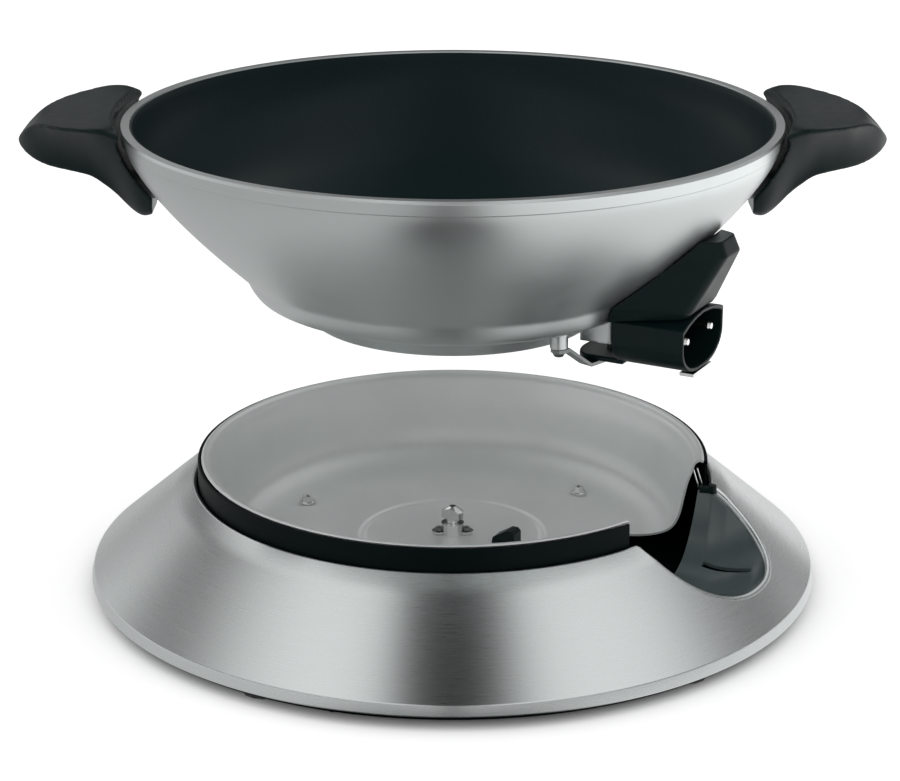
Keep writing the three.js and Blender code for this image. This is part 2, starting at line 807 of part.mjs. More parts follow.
// One cross section of a handle, a ring in Y and Z at a distance from the axis
function handleRing(index) {
  const x = handleRoot + (handleTip - handleRoot) * handleStationShares[index];
  const half = handleHalfWidth * handleWidthShares[index];
  const top = handleRise * handleTopShares[index];
  const bottom = -handleDrop * handleBottomShares[index];
  const keel = handleHalfWidth * handleKeelShares[index];
  const droop = handleRise * handleDroopShares[index];
  const dish = handleDish * handleWidthShares[index];
  const edge = handleEdge * handleWidthShares[index];
  const points = [];
  for (let i = 0; i <= handleTopSteps; i += 1) {
    const across = 1 - 2 * (i / handleTopSteps);
    points.push([x, (half - edge) * across, top - dish * (1 - across ** 2) - droop * across ** 4]);
  }
  const corner = top - droop - edge;
  const side = (sign, share) => {
    const width = keel + (half - keel) * (1 - share) ** handleSidePowers[index];
    return [x, sign * width, corner + (bottom - corner + dish) * share];
  };
  for (let i = 0; i <= handleSideSteps; i += 1) points.push(side(-1, i / handleSideSteps));
  for (let i = 1; i < handleKeelSteps; i += 1) {
    const across = -1 + 2 * (i / handleKeelSteps);
    points.push([x, keel * across, bottom + dish * across ** 2]);
  }
  for (let i = handleSideSteps; i >= 0; i -= 1) points.push(side(1, i / handleSideSteps));
  return points.reverse();
}

// Space that the bowl and the gap behind the handle take from it
function handleBowlSpace() {
  const above = handleRise + overrun;
  const wall = revolve([[0, foot], ...bowlOuter(handleGap), [rimRadius + handleGap, above], [0, above]]);
  return wall.add(cylinder(handleTailInner * 2, foot, -rimBand, roundSteps));
}

// Arm on the bowl wall with a tab that hangs down behind the tail of the handle
function bracketSpace(gap) {
  const half = bracketHalfWidth + gap;
  const arm = box(wallRadius(bracketArmBottom) - bowlWall, bracketReach + gap, -half, half,
    -bracketArmBottom - gap, -bracketTop + gap);
  return arm.add(box(bracketInner - gap, bracketReach + gap, -half, half, -bracketBottom - gap,
    -bracketTop + gap));
}

function handle() {
  let solid = loft(handleStationShares.map((_, i) => handleRing(i)));
  solid = solid.subtract(handleBowlSpace()).subtract(bracketSpace(runningFit));
  for (const y of handleScrewRows()) {
    const shank = cylinder(handleScrewShank + clearance * 2, bracketReach, handleTip, screwSteps);
    const head = cylinder(handleScrewHead + clearance * 2, handleScrewSeat, handleTip, screwSteps);
    const bore = union([shank, head]).rotate([0, rightAngle, 0]);
    solid = solid.subtract(bore.translate([0, y, -handleScrewDepth]));
  }
  return solid;
}

function handleScrewRows() {
  return [handleScrewSpacing / 2, -handleScrewSpacing / 2];
}

// Cast lug on the bowl wall that the handle is screwed to
function handleBracket() {
  let solid = bracketSpace(0).subtract(bowlSpace(clearance));
  for (const y of handleScrewRows()) {
    const hole = cylinder(handleScrewShank + clearance * 2,
      handleScrewSeat - handleScrewGrip - clearance * 2, handleTip, screwSteps);
    solid = solid.subtract(hole.rotate([0, rightAngle, 0]).translate([0, y, -handleScrewDepth]));
  }
  return solid;
}

function handleScrew() {
  return domeScrew(handleScrewHead, handleScrewHeadHeight, handleScrewShank, handleScrewGrip)
    .rotate([0, rightAngle, 0]);
}

function handleScrewPlaces(turn) {
  return handleScrewRows().map((y) =>
    [...turned([handleScrewSeat + clearance, y], turn), -handleScrewDepth]);
}

// Plate with the keyhole of the lock post and the slot of the locating key
function lockPlate() {
  const bottom = foot + lockPlateInset;
  const top = bottom + lockPlateThickness;
  let solid = cylinder((footRadius - footWall - clearance) * 2, bottom, top, roundSteps);
  const postSlot = prism(slotOutline(headLength + keyholeSlack * 2, headWidth + keyholeSlack * 2),
    bottom - overrun, top + overrun);
  const keyHalf = [keyLength / 2 + keySlotSlack, keyWidth / 2 + keySlotSlack];
  const keySlot = box(keyCentre - keyHalf[0], keyCentre + keyHalf[0], -keyHalf[1], keyHalf[1],
    bottom - overrun, top + overrun);
  solid = solid.subtract(toBay(postSlot.add(keySlot)));
  for (const [x, y] of plateScrewPlaces()) {
    solid = solid.subtract(cylinder(plateScrewShank + clearance * 2, bottom - overrun, top + overrun,
      screwSteps).translate([x, y, 0]));
  }
  return solid;
}

function plateScrew() {
  return domeScrew(plateScrewHead, plateScrewHeadHeight, plateScrewShank, plateScrewLength)
    .rotate([halfTurn, 0, 0]);
}

// Outer line of the skirt from the bottom edge to the lip
function skirtLine(inset = 0) {
  return [[skirtBottomRadius - inset, skirtBottom], [skirtCreaseRadius - inset, skirtCrease],
    [skirtShoulderRadius - inset, skirtShoulder - inset], [skirtTopRadius, skirtTop - inset],
    [skirtLipRadius, skirtTop - skirtLipDrop]];
}

// Outline of the cut-out in plan, a rounded tongue that points along the bay
function cutOutline(margin = 0) {
  const points = [];
  for (let i = 0; i <= cutSteps; i += 1) {
    const angle = -quarter + Math.PI * (i / cutSteps);
    const along = Math.abs(Math.cos(angle)) ** (2 / cutPower);
    const across = Math.sign(Math.sin(angle)) * Math.abs(Math.sin(angle)) ** (2 / cutPower);
    points.push([cutStart + (cutTip + margin - cutStart) * along, (cutHalfWidth + margin) * across]);
  }
  return [[notchKnee, -cutHalfWidth - margin], ...points, [notchKnee, cutHalfWidth + margin]];
}

function skirtShell() {
  const outer = skirtLine();
  const inner = skirtLine(skirtWall).slice(0, -1);
  inner[0][1] = skirtBottom + skirtWall;
  const lipInner = [skirtLipRadius + skirtWall, skirtTop - skirtLipDrop - skirtWall / 2];
  const hem = [[skirtBottomRadius - hemWidth, skirtBottom + skirtWall],
    [skirtBottomRadius - hemWidth, skirtBottom]];
  const profile = [...outer, lipInner, ...inner.reverse(), ...hem];
  let solid = revolve(profile);
  solid = solid.subtract(toBay(prism(cutOutline(), skirtBottom + skirtWall * 2, skirtTop + overrun)));
  for (const [x, y] of ringPlaces(panScrewCount, panScrewCircle, panScrewTurn)) {
    solid = solid.subtract(cylinder(panScrewShank + clearance * 2, skirtBottom - overrun,
      skirtBottom + skirtWall + overrun, screwSteps).translate([x, y, 0]));
  }
  return solid;
}

function ringPlaces(count, radius, turn) {
  return Array.from({ length: count }, (_, i) => {
    const angle = (turn + (fullTurn / count) * i) * degree;
    return [radius * Math.cos(angle), radius * Math.sin(angle)];
  });
}

// Height of the scoop at a point in the frame of the bay
function scoopHeight(along, across, margin) {
  const tip = cutTip + margin - cutStart;
  const u = Math.max(along - cutStart, 0) / tip;
  const v = Math.abs(across) / (cutHalfWidth + margin);
  const reach = (u ** cutPower + v ** cutPower) ** (1 / cutPower);
  const rise = Math.max((along - trayInner) / (cutTip - trayInner), 0);
  const floor = trayFloor + (trayTipFloor - trayFloor) * rise ** trayPower;
  return floor - margin + (trayRim - floor) * Math.min(reach, trayReachLimit) ** trayPower;
}

// Solid that fills the scoop up to a flat top
function scoopSolid(margin, inner, top) {
  const outer = cutTip + margin + overrun;
  const half = cutHalfWidth + margin + overrun;
  const rings = [];
  for (let i = 0; i <= trayAlongSteps; i += 1) {
    const along = inner + (outer - inner) * (i / trayAlongSteps);
    const ring = [];
    for (let j = 0; j <= trayAcrossSteps; j += 1) {
      const across = half * (-1 + 2 * (j / trayAcrossSteps));
      ring.push([along, across, Math.min(scoopHeight(along, across, margin), top - clearance)]);
    }
    ring.push([along, half, top]);
    ring.push([along, -half, top]);
    rings.push(ring);
  }
  return loft(rings);
}

function probeTray() {
  const shell = scoopSolid(trayThickness, trayInner, skirtTop + overrun * 2)
    .subtract(scoopSolid(0, trayInner - overrun, skirtTop + overrun * 2 + clearance));
  const plan = cutOutline(trayThickness);
  const trimmed = shell.intersect(prism(plan, panTop + clearance, skirtTop));
  const slotReach = cutTip - trayInner;
  const slot = box(trayInner + slotReach * traySlotStartShare, trayInner + slotReach * traySlotEndShare,
    traySlotOffset - traySlotWidth / 2, traySlotOffset + traySlotWidth / 2, panTop, skirtTop);
  const legs = [trayInner + trayLegInset, cutTip - trayLegTipInset].map((along) => box(along,
    along + trayLegThickness, -trayLegWidth / 2, trayLegWidth / 2, panTop + clearance,
    scoopHeight(along, 0, 0) - trayThickness / 2));
  const tray = union([trimmed.subtract(slot), ...legs]);
  return toBay(tray).intersect(underSkirt());
}

// Plan of the notch that lets the socket down through the reflector
function notchOutline(margin = 0) {
  const half = notchHalfWidth + margin;
  const mouth = notchMouthHalfWidth + margin;
  const inner = notchInner - margin;
  const outer = collarRadius + overrun;
  return [
    ...arc(inner + notchRound, half - notchRound, notchRound, notchRound, halfTurn, rightAngle,
      notchRoundSteps),
    [notchKnee, half], [notchMouth, mouth], [outer, mouth],
    [outer, -mouth], [notchMouth, -mouth], [notchKnee, -half],
    ...arc(inner + notchRound, -half + notchRound, notchRound, notchRound, -rightAngle, -halfTurn,
      notchRoundSteps),
  ].reverse();
}

// Inner line of the reflector from the rim to the axis, moved down and out by a thickness
function reflectorLine(thickness) {
  const height = reflectorRim - reflectorFloor;
  const width = reflectorRadius - reflectorWall * 2 - reflectorFloorRadius;
  const points = [[reflectorRadius - reflectorWall * 2 + thickness, reflectorRim - reflectorLip]];
  reflectorDepthShares.forEach((share, i) => {
    points.push([reflectorFloorRadius + width * reflectorRadiusShares[i] + thickness * reflectorSlantShare,
      reflectorRim - height * share - thickness]);
  });
  points.push([beadRadius + beadWidth, reflectorFloor - thickness]);
  points.push([beadRadius, reflectorFloor + beadHeight - thickness]);
  points.push([beadRadius - beadWidth, reflectorFloor - thickness]);
  points.push([reflectorCentreHole / 2, reflectorFloor - thickness]);
  return points;
}

function heatReflector() {
  const top = reflectorLine(0);
  const under = reflectorLine(reflectorWall);
  const lip = [[reflectorRadius, reflectorRim - reflectorLip], [reflectorRadius, reflectorRim],
    [reflectorRadius - reflectorWall, reflectorRim]];
  let solid = revolve([...under.reverse(), ...lip, ...top]);
  solid = solid.subtract(toBay(prism(notchOutline(), panTop, reflectorRim + overrun)));
  for (const azimuth of reflectorScrewAzimuths) {
    solid = solid.subtract(cylinder(reflectorScrewShank + clearance * 2, reflectorFloor - overrun * 2,
      reflectorFloor + overrun, screwSteps).translate([reflectorScrewCircle, 0, 0]).rotate([0, 0, azimuth]));
  }
  for (const sign of [1, -1]) {
    solid = solid.subtract(cylinder(earScrewShank + clearance * 2, reflectorFloor - overrun * 2,
      reflectorFloor + overrun, screwSteps).translate([sign * bushingEarSpacing / 2, 0, 0]));
  }
  return solid.subtract(cylinder(bushingDiameter + clearance * 2, reflectorFloor - overrun * 2,
    reflectorFloor + overrun));
}

// Angle between two azimuths, at most half a turn
function angleBetween(first, second) {
  const turn = Math.abs(first - second) % fullTurn;
  return Math.min(turn, fullTurn - turn);
}

// Black ring that stands on the pan and closes the gap round the reflector
function innerCollar() {
  const bottom = panTop + clearance;
  const top = reflectorRim - reflectorLip - collarTopGap;
  const outer = collarRadius;
  const inner = collarRadius - collarWall;
  const profile = [[inner, bottom], [outer, bottom], [outer, top - collarWall],
    [outer - collarWall / 2, top], [inner, top]];
  const solid = revolve(profile);
  return solid.subtract(toBay(prism(notchOutline(clearance), bottom - overrun, reflectorRim)));
}

// Space under the skirt, a running gap below its sheet
function underSkirt() {
  const lipFoot = skirtTop - skirtLipDrop * 2;
  return revolve([[0, panTop], [skirtBottomRadius - hemWidth, panTop],
    ...skirtLine(skirtWall + clearance).slice(1, -2), [skirtTopRadius, lipFoot], [0, lipFoot]]);
}

// Small block that holds the top of the skirt to the collar
function skirtClip(place) {
  const block = box(collarRadius + clearance * 2, skirtShoulderRadius, -clipWidth / 2, clipWidth / 2,
    clipTop - clipHeight, clipTop);
  return block.rotate([0, 0, clipTurn + (fullTurn / clipCount) * place]).intersect(underSkirt());
}

function bottomPan() {
  const recessTop = panRecessHeight;
  const plate = panTop - panBottom;
  const profile = [[panHub / 2, recessTop - plate], [panRecessRadius - plate, recessTop - plate],
    [panRecessRadius, panBottom], [panRadius - panEdge, panBottom], [panRadius, panBottom + panEdge],
    [panRadius, panTop], [panRecessRadius + plate, panTop], [panRecessRadius, recessTop],
    [panHub / 2, recessTop]];
  let solid = revolve(profile);
  const vent = prism(slotOutline(ventLength, ventWidth, ventSteps), panBottom - overrun, panTop + overrun);
  for (let i = 0; i < ventCount; i += 1) {
    const azimuth = (fullTurn / ventCount) * (i + 1 / 2);
    const spare = fullTurn / ventCount / 2;
    if (reflectorScrewAzimuths.every((place) => angleBetween(azimuth, place) > spare)) {
      solid = solid.subtract(vent.translate([ventInner + ventLength / 2, 0, 0]).rotate([0, 0, azimuth]));
    }
  }
  for (const [x, y] of ringPlaces(panScrewCount, panScrewCircle, panScrewTurn)) {
    solid = solid.subtract(cylinder(panScrewShank + clearance * 2, panBottom - overrun, panTop + overrun,
      screwSteps).translate([x, y, 0]));
  }
  return solid;
}

function panScrew() {
  return domeScrew(panScrewHead, panScrewHeadHeight, panScrewShank, panScrewLength).rotate([halfTurn, 0, 0]);
}

// Rubber foot with a domed edge and a recess for its screw
function rubberFoot() {
  const radius = footDiameter / 2;
  const top = panBottom - clearance;
  const hole = footScrewHead / 2;
  const outline = [[0, footRecess], [hole, footRecess], [hole, 0],
    ...arc(radius - footDome, footDome, footDome, footDome, -rightAngle, 0, cornerSteps),
    [radius, top], [0, top]];
  return revolve(outline, smallSteps);
}

function standoff() {
  const top = reflectorFloor - reflectorWall - clearance;
  const post = cylinder(standoffDiameter, panTop + clearance, top);
  const hole = cylinder(reflectorScrewShank + clearance * 2, top - reflectorScrewLength, top + overrun,
    screwSteps);
  return post.subtract(hole);
}

// Domed screw with a flat washer under its head
function reflectorScrew() {
  const seat = reflectorFloor + clearance;
  const washer = cylinder(reflectorWasherDiameter, 0, reflectorWasher, smallSteps);
  const screw = domeScrew(reflectorScrewHead, reflectorScrewHeadHeight, reflectorScrewShank,
    reflectorScrewLength).translate([0, 0, reflectorWasher]);
  return washer.add(screw).translate([0, 0, seat]);
}

// Flanged bushing that guides the lock post and carries the bowl
function postBushing() {
  const bottom = reflectorFloor + clearance;
  const flange = union([
    cylinder(bushingDiameter, bottom, bottom + bushingFlange),
    ...[1, -1].map((sign) => cylinder(bushingEarDiameter, bottom, bottom + bushingFlange, screwSteps)
      .translate([sign * bushingEarSpacing / 2, 0, 0])),
  ]);
  const barrel = cylinder(bushingDiameter, bushingBottom, bushingTop, smallSteps);
  let solid = flange.add(barrel);
  solid = solid.subtract(cylinder(postDiameter + runningFit * 2, bushingBottom - overrun,
    bushingTop + overrun));
  for (const sign of [1, -1]) {
    solid = solid.subtract(cylinder(earScrewShank + clearance * 2, bottom - overrun,
      bottom + bushingFlange + overrun, screwSteps).translate([sign * bushingEarSpacing / 2, 0, 0]));
  }
  return solid;
}

// Screw in an ear of the bushing, its head trimmed clear of the barrel
function bushingScrew(sign) {
  const screw = domeScrew(earScrewHead, earScrewHeadHeight, earScrewShank, earScrewLength);
  const barrel = cylinder(bushingDiameter + clearance * 2, -bushingTop, bushingTop)
    .translate([-sign * bushingEarSpacing / 2, 0, 0]);
  return screw.subtract(barrel);
}

// Turning post with a hammer head that passes the slot of the lock plate
function lockPost() {
  const headBottom = bushingTop + postNeck;
  const shaft = cylinder(postDiameter, leverBottom, headBottom + overrun);
  const corners = [[1, 1], [-1, 1], [-1, -1], [1, -1]];
  const outline = corners.flatMap(([x, y], i) => arc(x * (headLength / 2 - headRound),
    y * (headWidth / 2 - headRound), headRound, headRound, rightAngle * i, rightAngle * (i + 1),
    cornerSteps));
  const bar = prism(outline, headBottom, headBottom + headHeight);
  const crown = revolve([[0, headBottom], [headLength / 2, headBottom],
    [headLength / 2, headBottom + headShoulder], [headTopWidth / 2, headBottom + headHeight],
    [0, headBottom + headHeight]], screwSteps);
  return toBay(shaft.add(bar.intersect(crown)));
}

// Finger lever under the base, keyed to the foot of the post
function lockLever() {
  const top = leverBottom + leverThickness;
  const hub = cylinder(leverHub * 2, leverBottom, top, smallSteps);
  const arm = prism([
    ...arc(leverRadius - leverWidth / 2, 0, leverWidth / 2, leverWidth / 2, -rightAngle, rightAngle,
      leverTipSteps),
    [0, leverRootWidth / 2], [0, -leverRootWidth / 2],
  ], leverBottom, top);
  const ribs = Array.from({ length: leverRibCount }, (_, i) => {
    const x = leverRadius - leverWidth / 2 - leverRibPitch * i;
    return box(x - leverRibWidth / 2, x + leverRibWidth / 2, -leverRibLength / 2, leverRibLength / 2,
      leverBottom - leverRibHeight, leverBottom + leverThickness / 2);
  });
  const bore = cylinder(postDiameter + clearance * 2, leverBottom - overrun, top + overrun);
  return toBay(union([hub, arm, ...ribs]).subtract(bore));
}

// Nut that holds the lever on the post
function lockNut() {
  const top = leverBottom - clearance;
  return cylinder(leverNutDiameter, top - leverNutHeight, top, nutSides);
}

// Wedge that steers the bowl on to the base
function locatingKey() {
  const bottom = reflectorFloor + clearance;
  const low = bottom + (keyTop - bottom) * keyLowShare;
  const half = keyLength / 2;
  const side = [[-half, bottom], [half, bottom], [half, keyTop - keyFlange], [half - keyFlange, keyTop],
    [half - keyRidge, keyTop], [-half, low]];
  const flange = prism(slotOutline(keyLength + keyFlangeMargin * 2, keyWidth + keyFlangeMargin),
    bottom, bottom + keyFlange);
  return toBay(sideways(side, keyWidth).add(flange).translate([keyCentre, 0, 0]));
}

const steel = new THREE.MeshStandardMaterial({ color: 0xc4c6c7, roughness: 0.32, metalness: 1 });
const castMetal = new THREE.MeshStandardMaterial({ color: 0xb7b9ba, roughness: 0.42, metalness: 1 });
const dishMetal = new THREE.MeshStandardMaterial({ color: 0x969c9a, roughness: 0.6, metalness: 0.6 });
const coating = new THREE.MeshStandardMaterial({ color: 0x1c2322, roughness: 0.45, metalness: 0 });
const blackPlastic = new THREE.MeshStandardMaterial({ color: 0x202a2b, roughness: 0.5, metalness: 0 });
const rubber = new THREE.MeshStandardMaterial({ color: 0x151515, roughness: 0.85, metalness: 0 });
const brightScrew = new THREE.MeshStandardMaterial({ color: 0xd6d8d8, roughness: 0.22, metalness: 1 });
const darkScrew = new THREE.MeshStandardMaterial({ color: 0x3c3f40, roughness: 0.4, metalness: 0.9 });
const elementMetal = new THREE.MeshStandardMaterial({ color: 0x77797a, roughness: 0.5, metalness: 0.9 });

function piece(name, solid, material) {
  const mesh = new THREE.Mesh(geometryOf(solid), material);
  mesh.name = name;
  return mesh;
}

// One named mesh of the same solid at each of the places
function copies(name, solid, places, material) {
  return places.map((place, i) => {
    const mesh = piece(`${name}_${i + 1}`, solid, material);
    mesh.position.set(...place);
    return mesh;
  });
}

// The bowl assembly hangs from its rim plane
const bowlGroup = new THREE.Group();
bowlGroup.position.set(0, 0, rimPlane);
bowlGroup.add(
  piece('wok_bowl', wokBowl(), castMetal),
  piece('nonstick_lining', nonstickLining(), coating),
  piece('heating_element', toBay(elementSolid(elementTube)), elementMetal),
  piece('probe_socket', probeSocket(), blackPlastic),
  piece('terminal_block', terminalBlock(), blackPlastic),
  piece('terminal_pin_a', terminalPin(1), brightScrew),
  piece('terminal_pin_b', terminalPin(-1), brightScrew),
  piece('socket_lip', socketLip(), brightScrew),
  piece('socket_strap', socketStrap(), darkScrew),
  ...copies('socket_screw', socketScrew(), socketScrewPlaces(), darkScrew),
  piece('heat_guard', heatGuard(), blackPlastic),
  piece('lock_plate', lockPlate(), steel),
  ...copies('lock_plate_screw', plateScrew(),
    plateScrewPlaces().map((place) => [...place, foot + lockPlateInset - clearance]), brightScrew),
);
for (const [side, turn] of [['right', 0], ['left', halfTurn]]) {
  bowlGroup.add(
    piece(`handle_${side}`, handle().rotate([0, 0, turn]), blackPlastic),
    piece(`handle_bracket_${side}`, handleBracket().rotate([0, 0, turn]), castMetal),
    ...copies(`handle_screw_${side}`, handleScrew().rotate([0, 0, turn]), handleScrewPlaces(turn),
      brightScrew),
  );
}

const baseGroup = new THREE.Group();
baseGroup.add(
  piece('skirt_shell', skirtShell(), steel),
  piece('heat_reflector', heatReflector(), dishMetal),
  piece('inner_collar', innerCollar(), blackPlastic),
  piece('probe_tray', probeTray(), blackPlastic),
  piece('bottom_pan', bottomPan(), blackPlastic),
  piece('post_bushing', postBushing(), brightScrew),
  piece('locating_key', locatingKey(), blackPlastic),
  ...copies('pan_screw', panScrew(), ringPlaces(panScrewCount, panScrewCircle, panScrewTurn).map((place) =>
    [...place, panBottom - clearance]), darkScrew),
  ...copies('rubber_foot', rubberFoot(),
    ringPlaces(footCount, footCircle, footTurn).map((place) => [...place, 0]), rubber),
);
for (let i = 0; i < clipCount; i += 1) {
  baseGroup.add(piece(`skirt_clip_${i + 1}`, skirtClip(i), steel));
}
for (const [i, sign] of [1, -1].entries()) {
  const screw = piece(`bushing_screw_${i + 1}`, bushingScrew(sign), darkScrew);
  screw.position.set(sign * bushingEarSpacing / 2, 0, reflectorFloor + bushingFlange + clearance * 2);
  baseGroup.add(screw);
}
const screwPlaces = reflectorScrewAzimuths.map((azimuth) =>
  [...turned([reflectorScrewCircle, 0], azimuth), 0]);
baseGroup.add(
  ...copies('reflector_standoff', standoff(), screwPlaces, steel),
  ...copies('reflector_screw', reflectorScrew(), screwPlaces, brightScrew),
);

const lockGroup = new THREE.Group();
lockGroup.add(
  piece('lock_post', lockPost(), brightScrew),
  piece('lock_lever', lockLever(), blackPlastic),
  piece('lock_nut', lockNut(), darkScrew),
);

const group = new THREE.Group();
group.add(baseGroup, bowlGroup, lockGroup);

export default group;
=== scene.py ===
"""Looks of the electric wok: its finishes, its fine shells, the studio and the camera.

Sizes are in millimetres and turn into metres where a mesh is made. The bay of the base, with
the socket over it, has its own frame: along the bay, across it, and up.
"""

import json
import math

import bmesh
import bpy
from mathutils import Matrix, Vector


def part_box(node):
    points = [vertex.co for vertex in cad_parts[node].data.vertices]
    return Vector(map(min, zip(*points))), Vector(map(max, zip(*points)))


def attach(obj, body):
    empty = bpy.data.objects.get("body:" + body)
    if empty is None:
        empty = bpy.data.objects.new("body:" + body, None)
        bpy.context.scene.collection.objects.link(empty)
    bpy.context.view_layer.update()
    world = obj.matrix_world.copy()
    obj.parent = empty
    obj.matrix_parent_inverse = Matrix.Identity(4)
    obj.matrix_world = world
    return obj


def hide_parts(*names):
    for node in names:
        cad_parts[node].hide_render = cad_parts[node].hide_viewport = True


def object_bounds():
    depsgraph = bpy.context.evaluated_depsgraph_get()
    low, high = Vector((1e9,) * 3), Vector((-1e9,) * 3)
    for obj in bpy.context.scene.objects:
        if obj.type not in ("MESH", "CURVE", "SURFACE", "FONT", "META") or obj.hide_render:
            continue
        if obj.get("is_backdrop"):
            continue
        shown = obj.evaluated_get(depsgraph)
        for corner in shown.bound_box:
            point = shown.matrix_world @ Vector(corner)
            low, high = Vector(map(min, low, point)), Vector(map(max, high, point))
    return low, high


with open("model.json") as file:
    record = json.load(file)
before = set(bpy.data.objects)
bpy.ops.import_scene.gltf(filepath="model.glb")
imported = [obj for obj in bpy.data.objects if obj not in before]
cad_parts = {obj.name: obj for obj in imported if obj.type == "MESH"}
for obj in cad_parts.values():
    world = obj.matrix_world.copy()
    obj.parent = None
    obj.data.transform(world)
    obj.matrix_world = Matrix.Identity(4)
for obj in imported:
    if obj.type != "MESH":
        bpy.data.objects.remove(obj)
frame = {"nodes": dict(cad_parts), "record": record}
cad_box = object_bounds()

MM = 0.001

# Camera of the photograph
CAMERA_PLACE = (-1.55, -1400.0, 599.5)
CAMERA_PITCH = 19.18
CAMERA_LENS = 101.8
CAMERA_SENSOR = 36.0

# Counts
ROUND_STEPS = 288
ROD_STEPS = 32
ARC_STEPS = 6
SPLINE_STEPS = 6

# Angles above which an edge stays sharp, in degrees
SHARP_ANGLE = 32.0
TRAY_SHARP_ANGLE = 40.0
MOULDED_SHARP_ANGLE = 50.0
FLANGE_SHARP_ANGLE = 60.0
BEVEL_ANGLE = 35.0

# Voxel size and smoothing passes of the pieces with moulded edges
SOFTENING = {
    "handle_blank": (0.9, 2),
    "handle": (0.9, 5),
    "guard": (0.6, 5),
    "socket": (0.55, 3),
    "pad": (0.6, 4),
    "hook": (0.4, 3),
}

# Bevels of the carried-over nodes
BEVELS = {
    "lock_post": 0.5,
    "post_bushing": 0.6,
    "locating_key": 0.6,
    "socket_strap": 0.3,
    "socket_lip": 0.3,
    "lock_lever": 0.6,
    "bottom_pan": 0.4,
}

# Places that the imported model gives
RIM_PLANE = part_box("wok_bowl")[1].z / MM
RIM_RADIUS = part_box("wok_bowl")[1].x / MM
HANDLE_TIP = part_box("handle_right")[1].x / MM
SKIRT_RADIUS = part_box("skirt_shell")[1].x / MM
SKIRT_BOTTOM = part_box("skirt_shell")[0].z / MM
REFLECTOR_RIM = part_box("heat_reflector")[1].z / MM
COLLAR_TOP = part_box("inner_collar")[1].z / MM
COLLAR_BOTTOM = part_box("inner_collar")[0].z / MM
COLLAR_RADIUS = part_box("inner_collar")[1].x / MM
BAY_AZIMUTH = -28.0

# Bowl, heights are depths below the rim plane
RIM_WIDTH = 5.5
RIM_EDGE = 0.8
RIM_BAND = 8.5
RIM_DRAFT = 1.2
CREASE_STEP = 0.7
BOWL_HEIGHT = 114.5
BULGE_DEPTH = 88.0
BULGE_RADIUS = 117.4
BULGE_STEP = 2.0
BELLY_LINE = [(102.5, 1.2), (111.2, 4.2), (115.4, 8.6)]
WALL_POWER = 1.35
WALL_START = 3.0
WALL_STEPS = 40
FOOT_TOP_RADIUS = 90.5
FOOT_RADIUS = 82.0
FOOT_HEIGHT = 11.5
FOOT_BAND = 3.2
FOOT_DRAFT = 1.0
FOOT_ROUND = 6.0
FOOT_WALL = 5.0
RECESS_HEIGHT = 16.5
BOWL_WALL = 5.0
BOWL_DEPTH = 84.0
INNER_BLEND_DEPTH = 55.0
INNER_BLEND_STEPS = 3
RIM_STEPS = 3
FLOOR_DEPTH_SHARES = [0.79, 0.9, 0.97, 1.0]
FLOOR_RADIUS_SHARES = [0.885, 0.71, 0.5, 0.27]
LINING_GAP = 0.3
LINING_THICKNESS = 1.0

# Skirt
SKIRT_EDGE_DRAFT = 1.7
SKIRT_CREASE = 13.5
SKIRT_SHOULDER_RADIUS = 161.6
SKIRT_SHOULDER = 56.0
SKIRT_TOP_RADIUS = 151.8
SKIRT_TOP = 62.6
SKIRT_LIP_RADIUS = 149.9
SKIRT_LIP_DROP = 1.6
SKIRT_WALL = 1.2
SKIRT_HEM_ROUND = 0.8
SKIRT_CREASE_ROUND = 1.6
SKIRT_SHOULDER_ROUND = 60.0
SKIRT_TOP_ROUND = 1.6
SKIRT_LIP_ROUND = 0.3
HEM_WIDTH = 11.0
PAN_EDGE_RADII = (205.0, 208.4)
PAN_EDGE_DROP = 3.4
PAN_EDGE_ROUND = 0.8

# Cut-out of the skirt and the scoop under it
CUT_START = 143.5
CUT_REACH_SHARE = 0.5915
CUT_TIP = SKIRT_SHOULDER_RADIUS + (SKIRT_RADIUS - SKIRT_SHOULDER_RADIUS) * CUT_REACH_SHARE
CUT_HALF_WIDTH = 50.5
CUT_POWER = 2.25
CUT_STEPS = 120
TRAY_INNER = 135.0
TRAY_FLOOR = 15.5
TRAY_THICKNESS = 2.0
TRAY_POWER = 3.5
TRAY_TOP = 59.4
TRAY_SLOT_ENDS = [(148.0, 29.0), (180.0, 23.0)]
TRAY_SLOT_WIDTH = 3.0
TRAY_STEPS = 90
TRAY_DROP = 4.6
TRAY_MARGIN = 0.6
TRAY_TIP_SHARE = 0.0004
PAN_TOP = 9.2
HOOK_ENDS = [(137.4, 46.6), (144.9, 48.7)]
HOOK_HEIGHTS = (58.2, 62.0)
HOOK_WIDTH = 3.2
HOOK_KNOB = 2.3
STRIP_FEET = [(135.8, 49.4), (136.9, 52.4)]
STRIP_LEAN = 3.0
STRIP_HEIGHTS = (60.0, 71.0)
STRIP_RADIUS = 0.45
FLANGE_ROLL = 3.0
FLANGE_SECTION = [
    (4.0, -0.04), (3.3, 0.0), (2.6, 0.12), (1.9, 0.42), (1.3, 0.85), (0.8, 1.4), (0.4, 2.1),
    (0.12, 2.9), (0.0, 3.8), (0.0, 6.2), (0.5, 6.2), (0.6, 3.8), (1.4, 1.9), (4.0, 0.9),
]

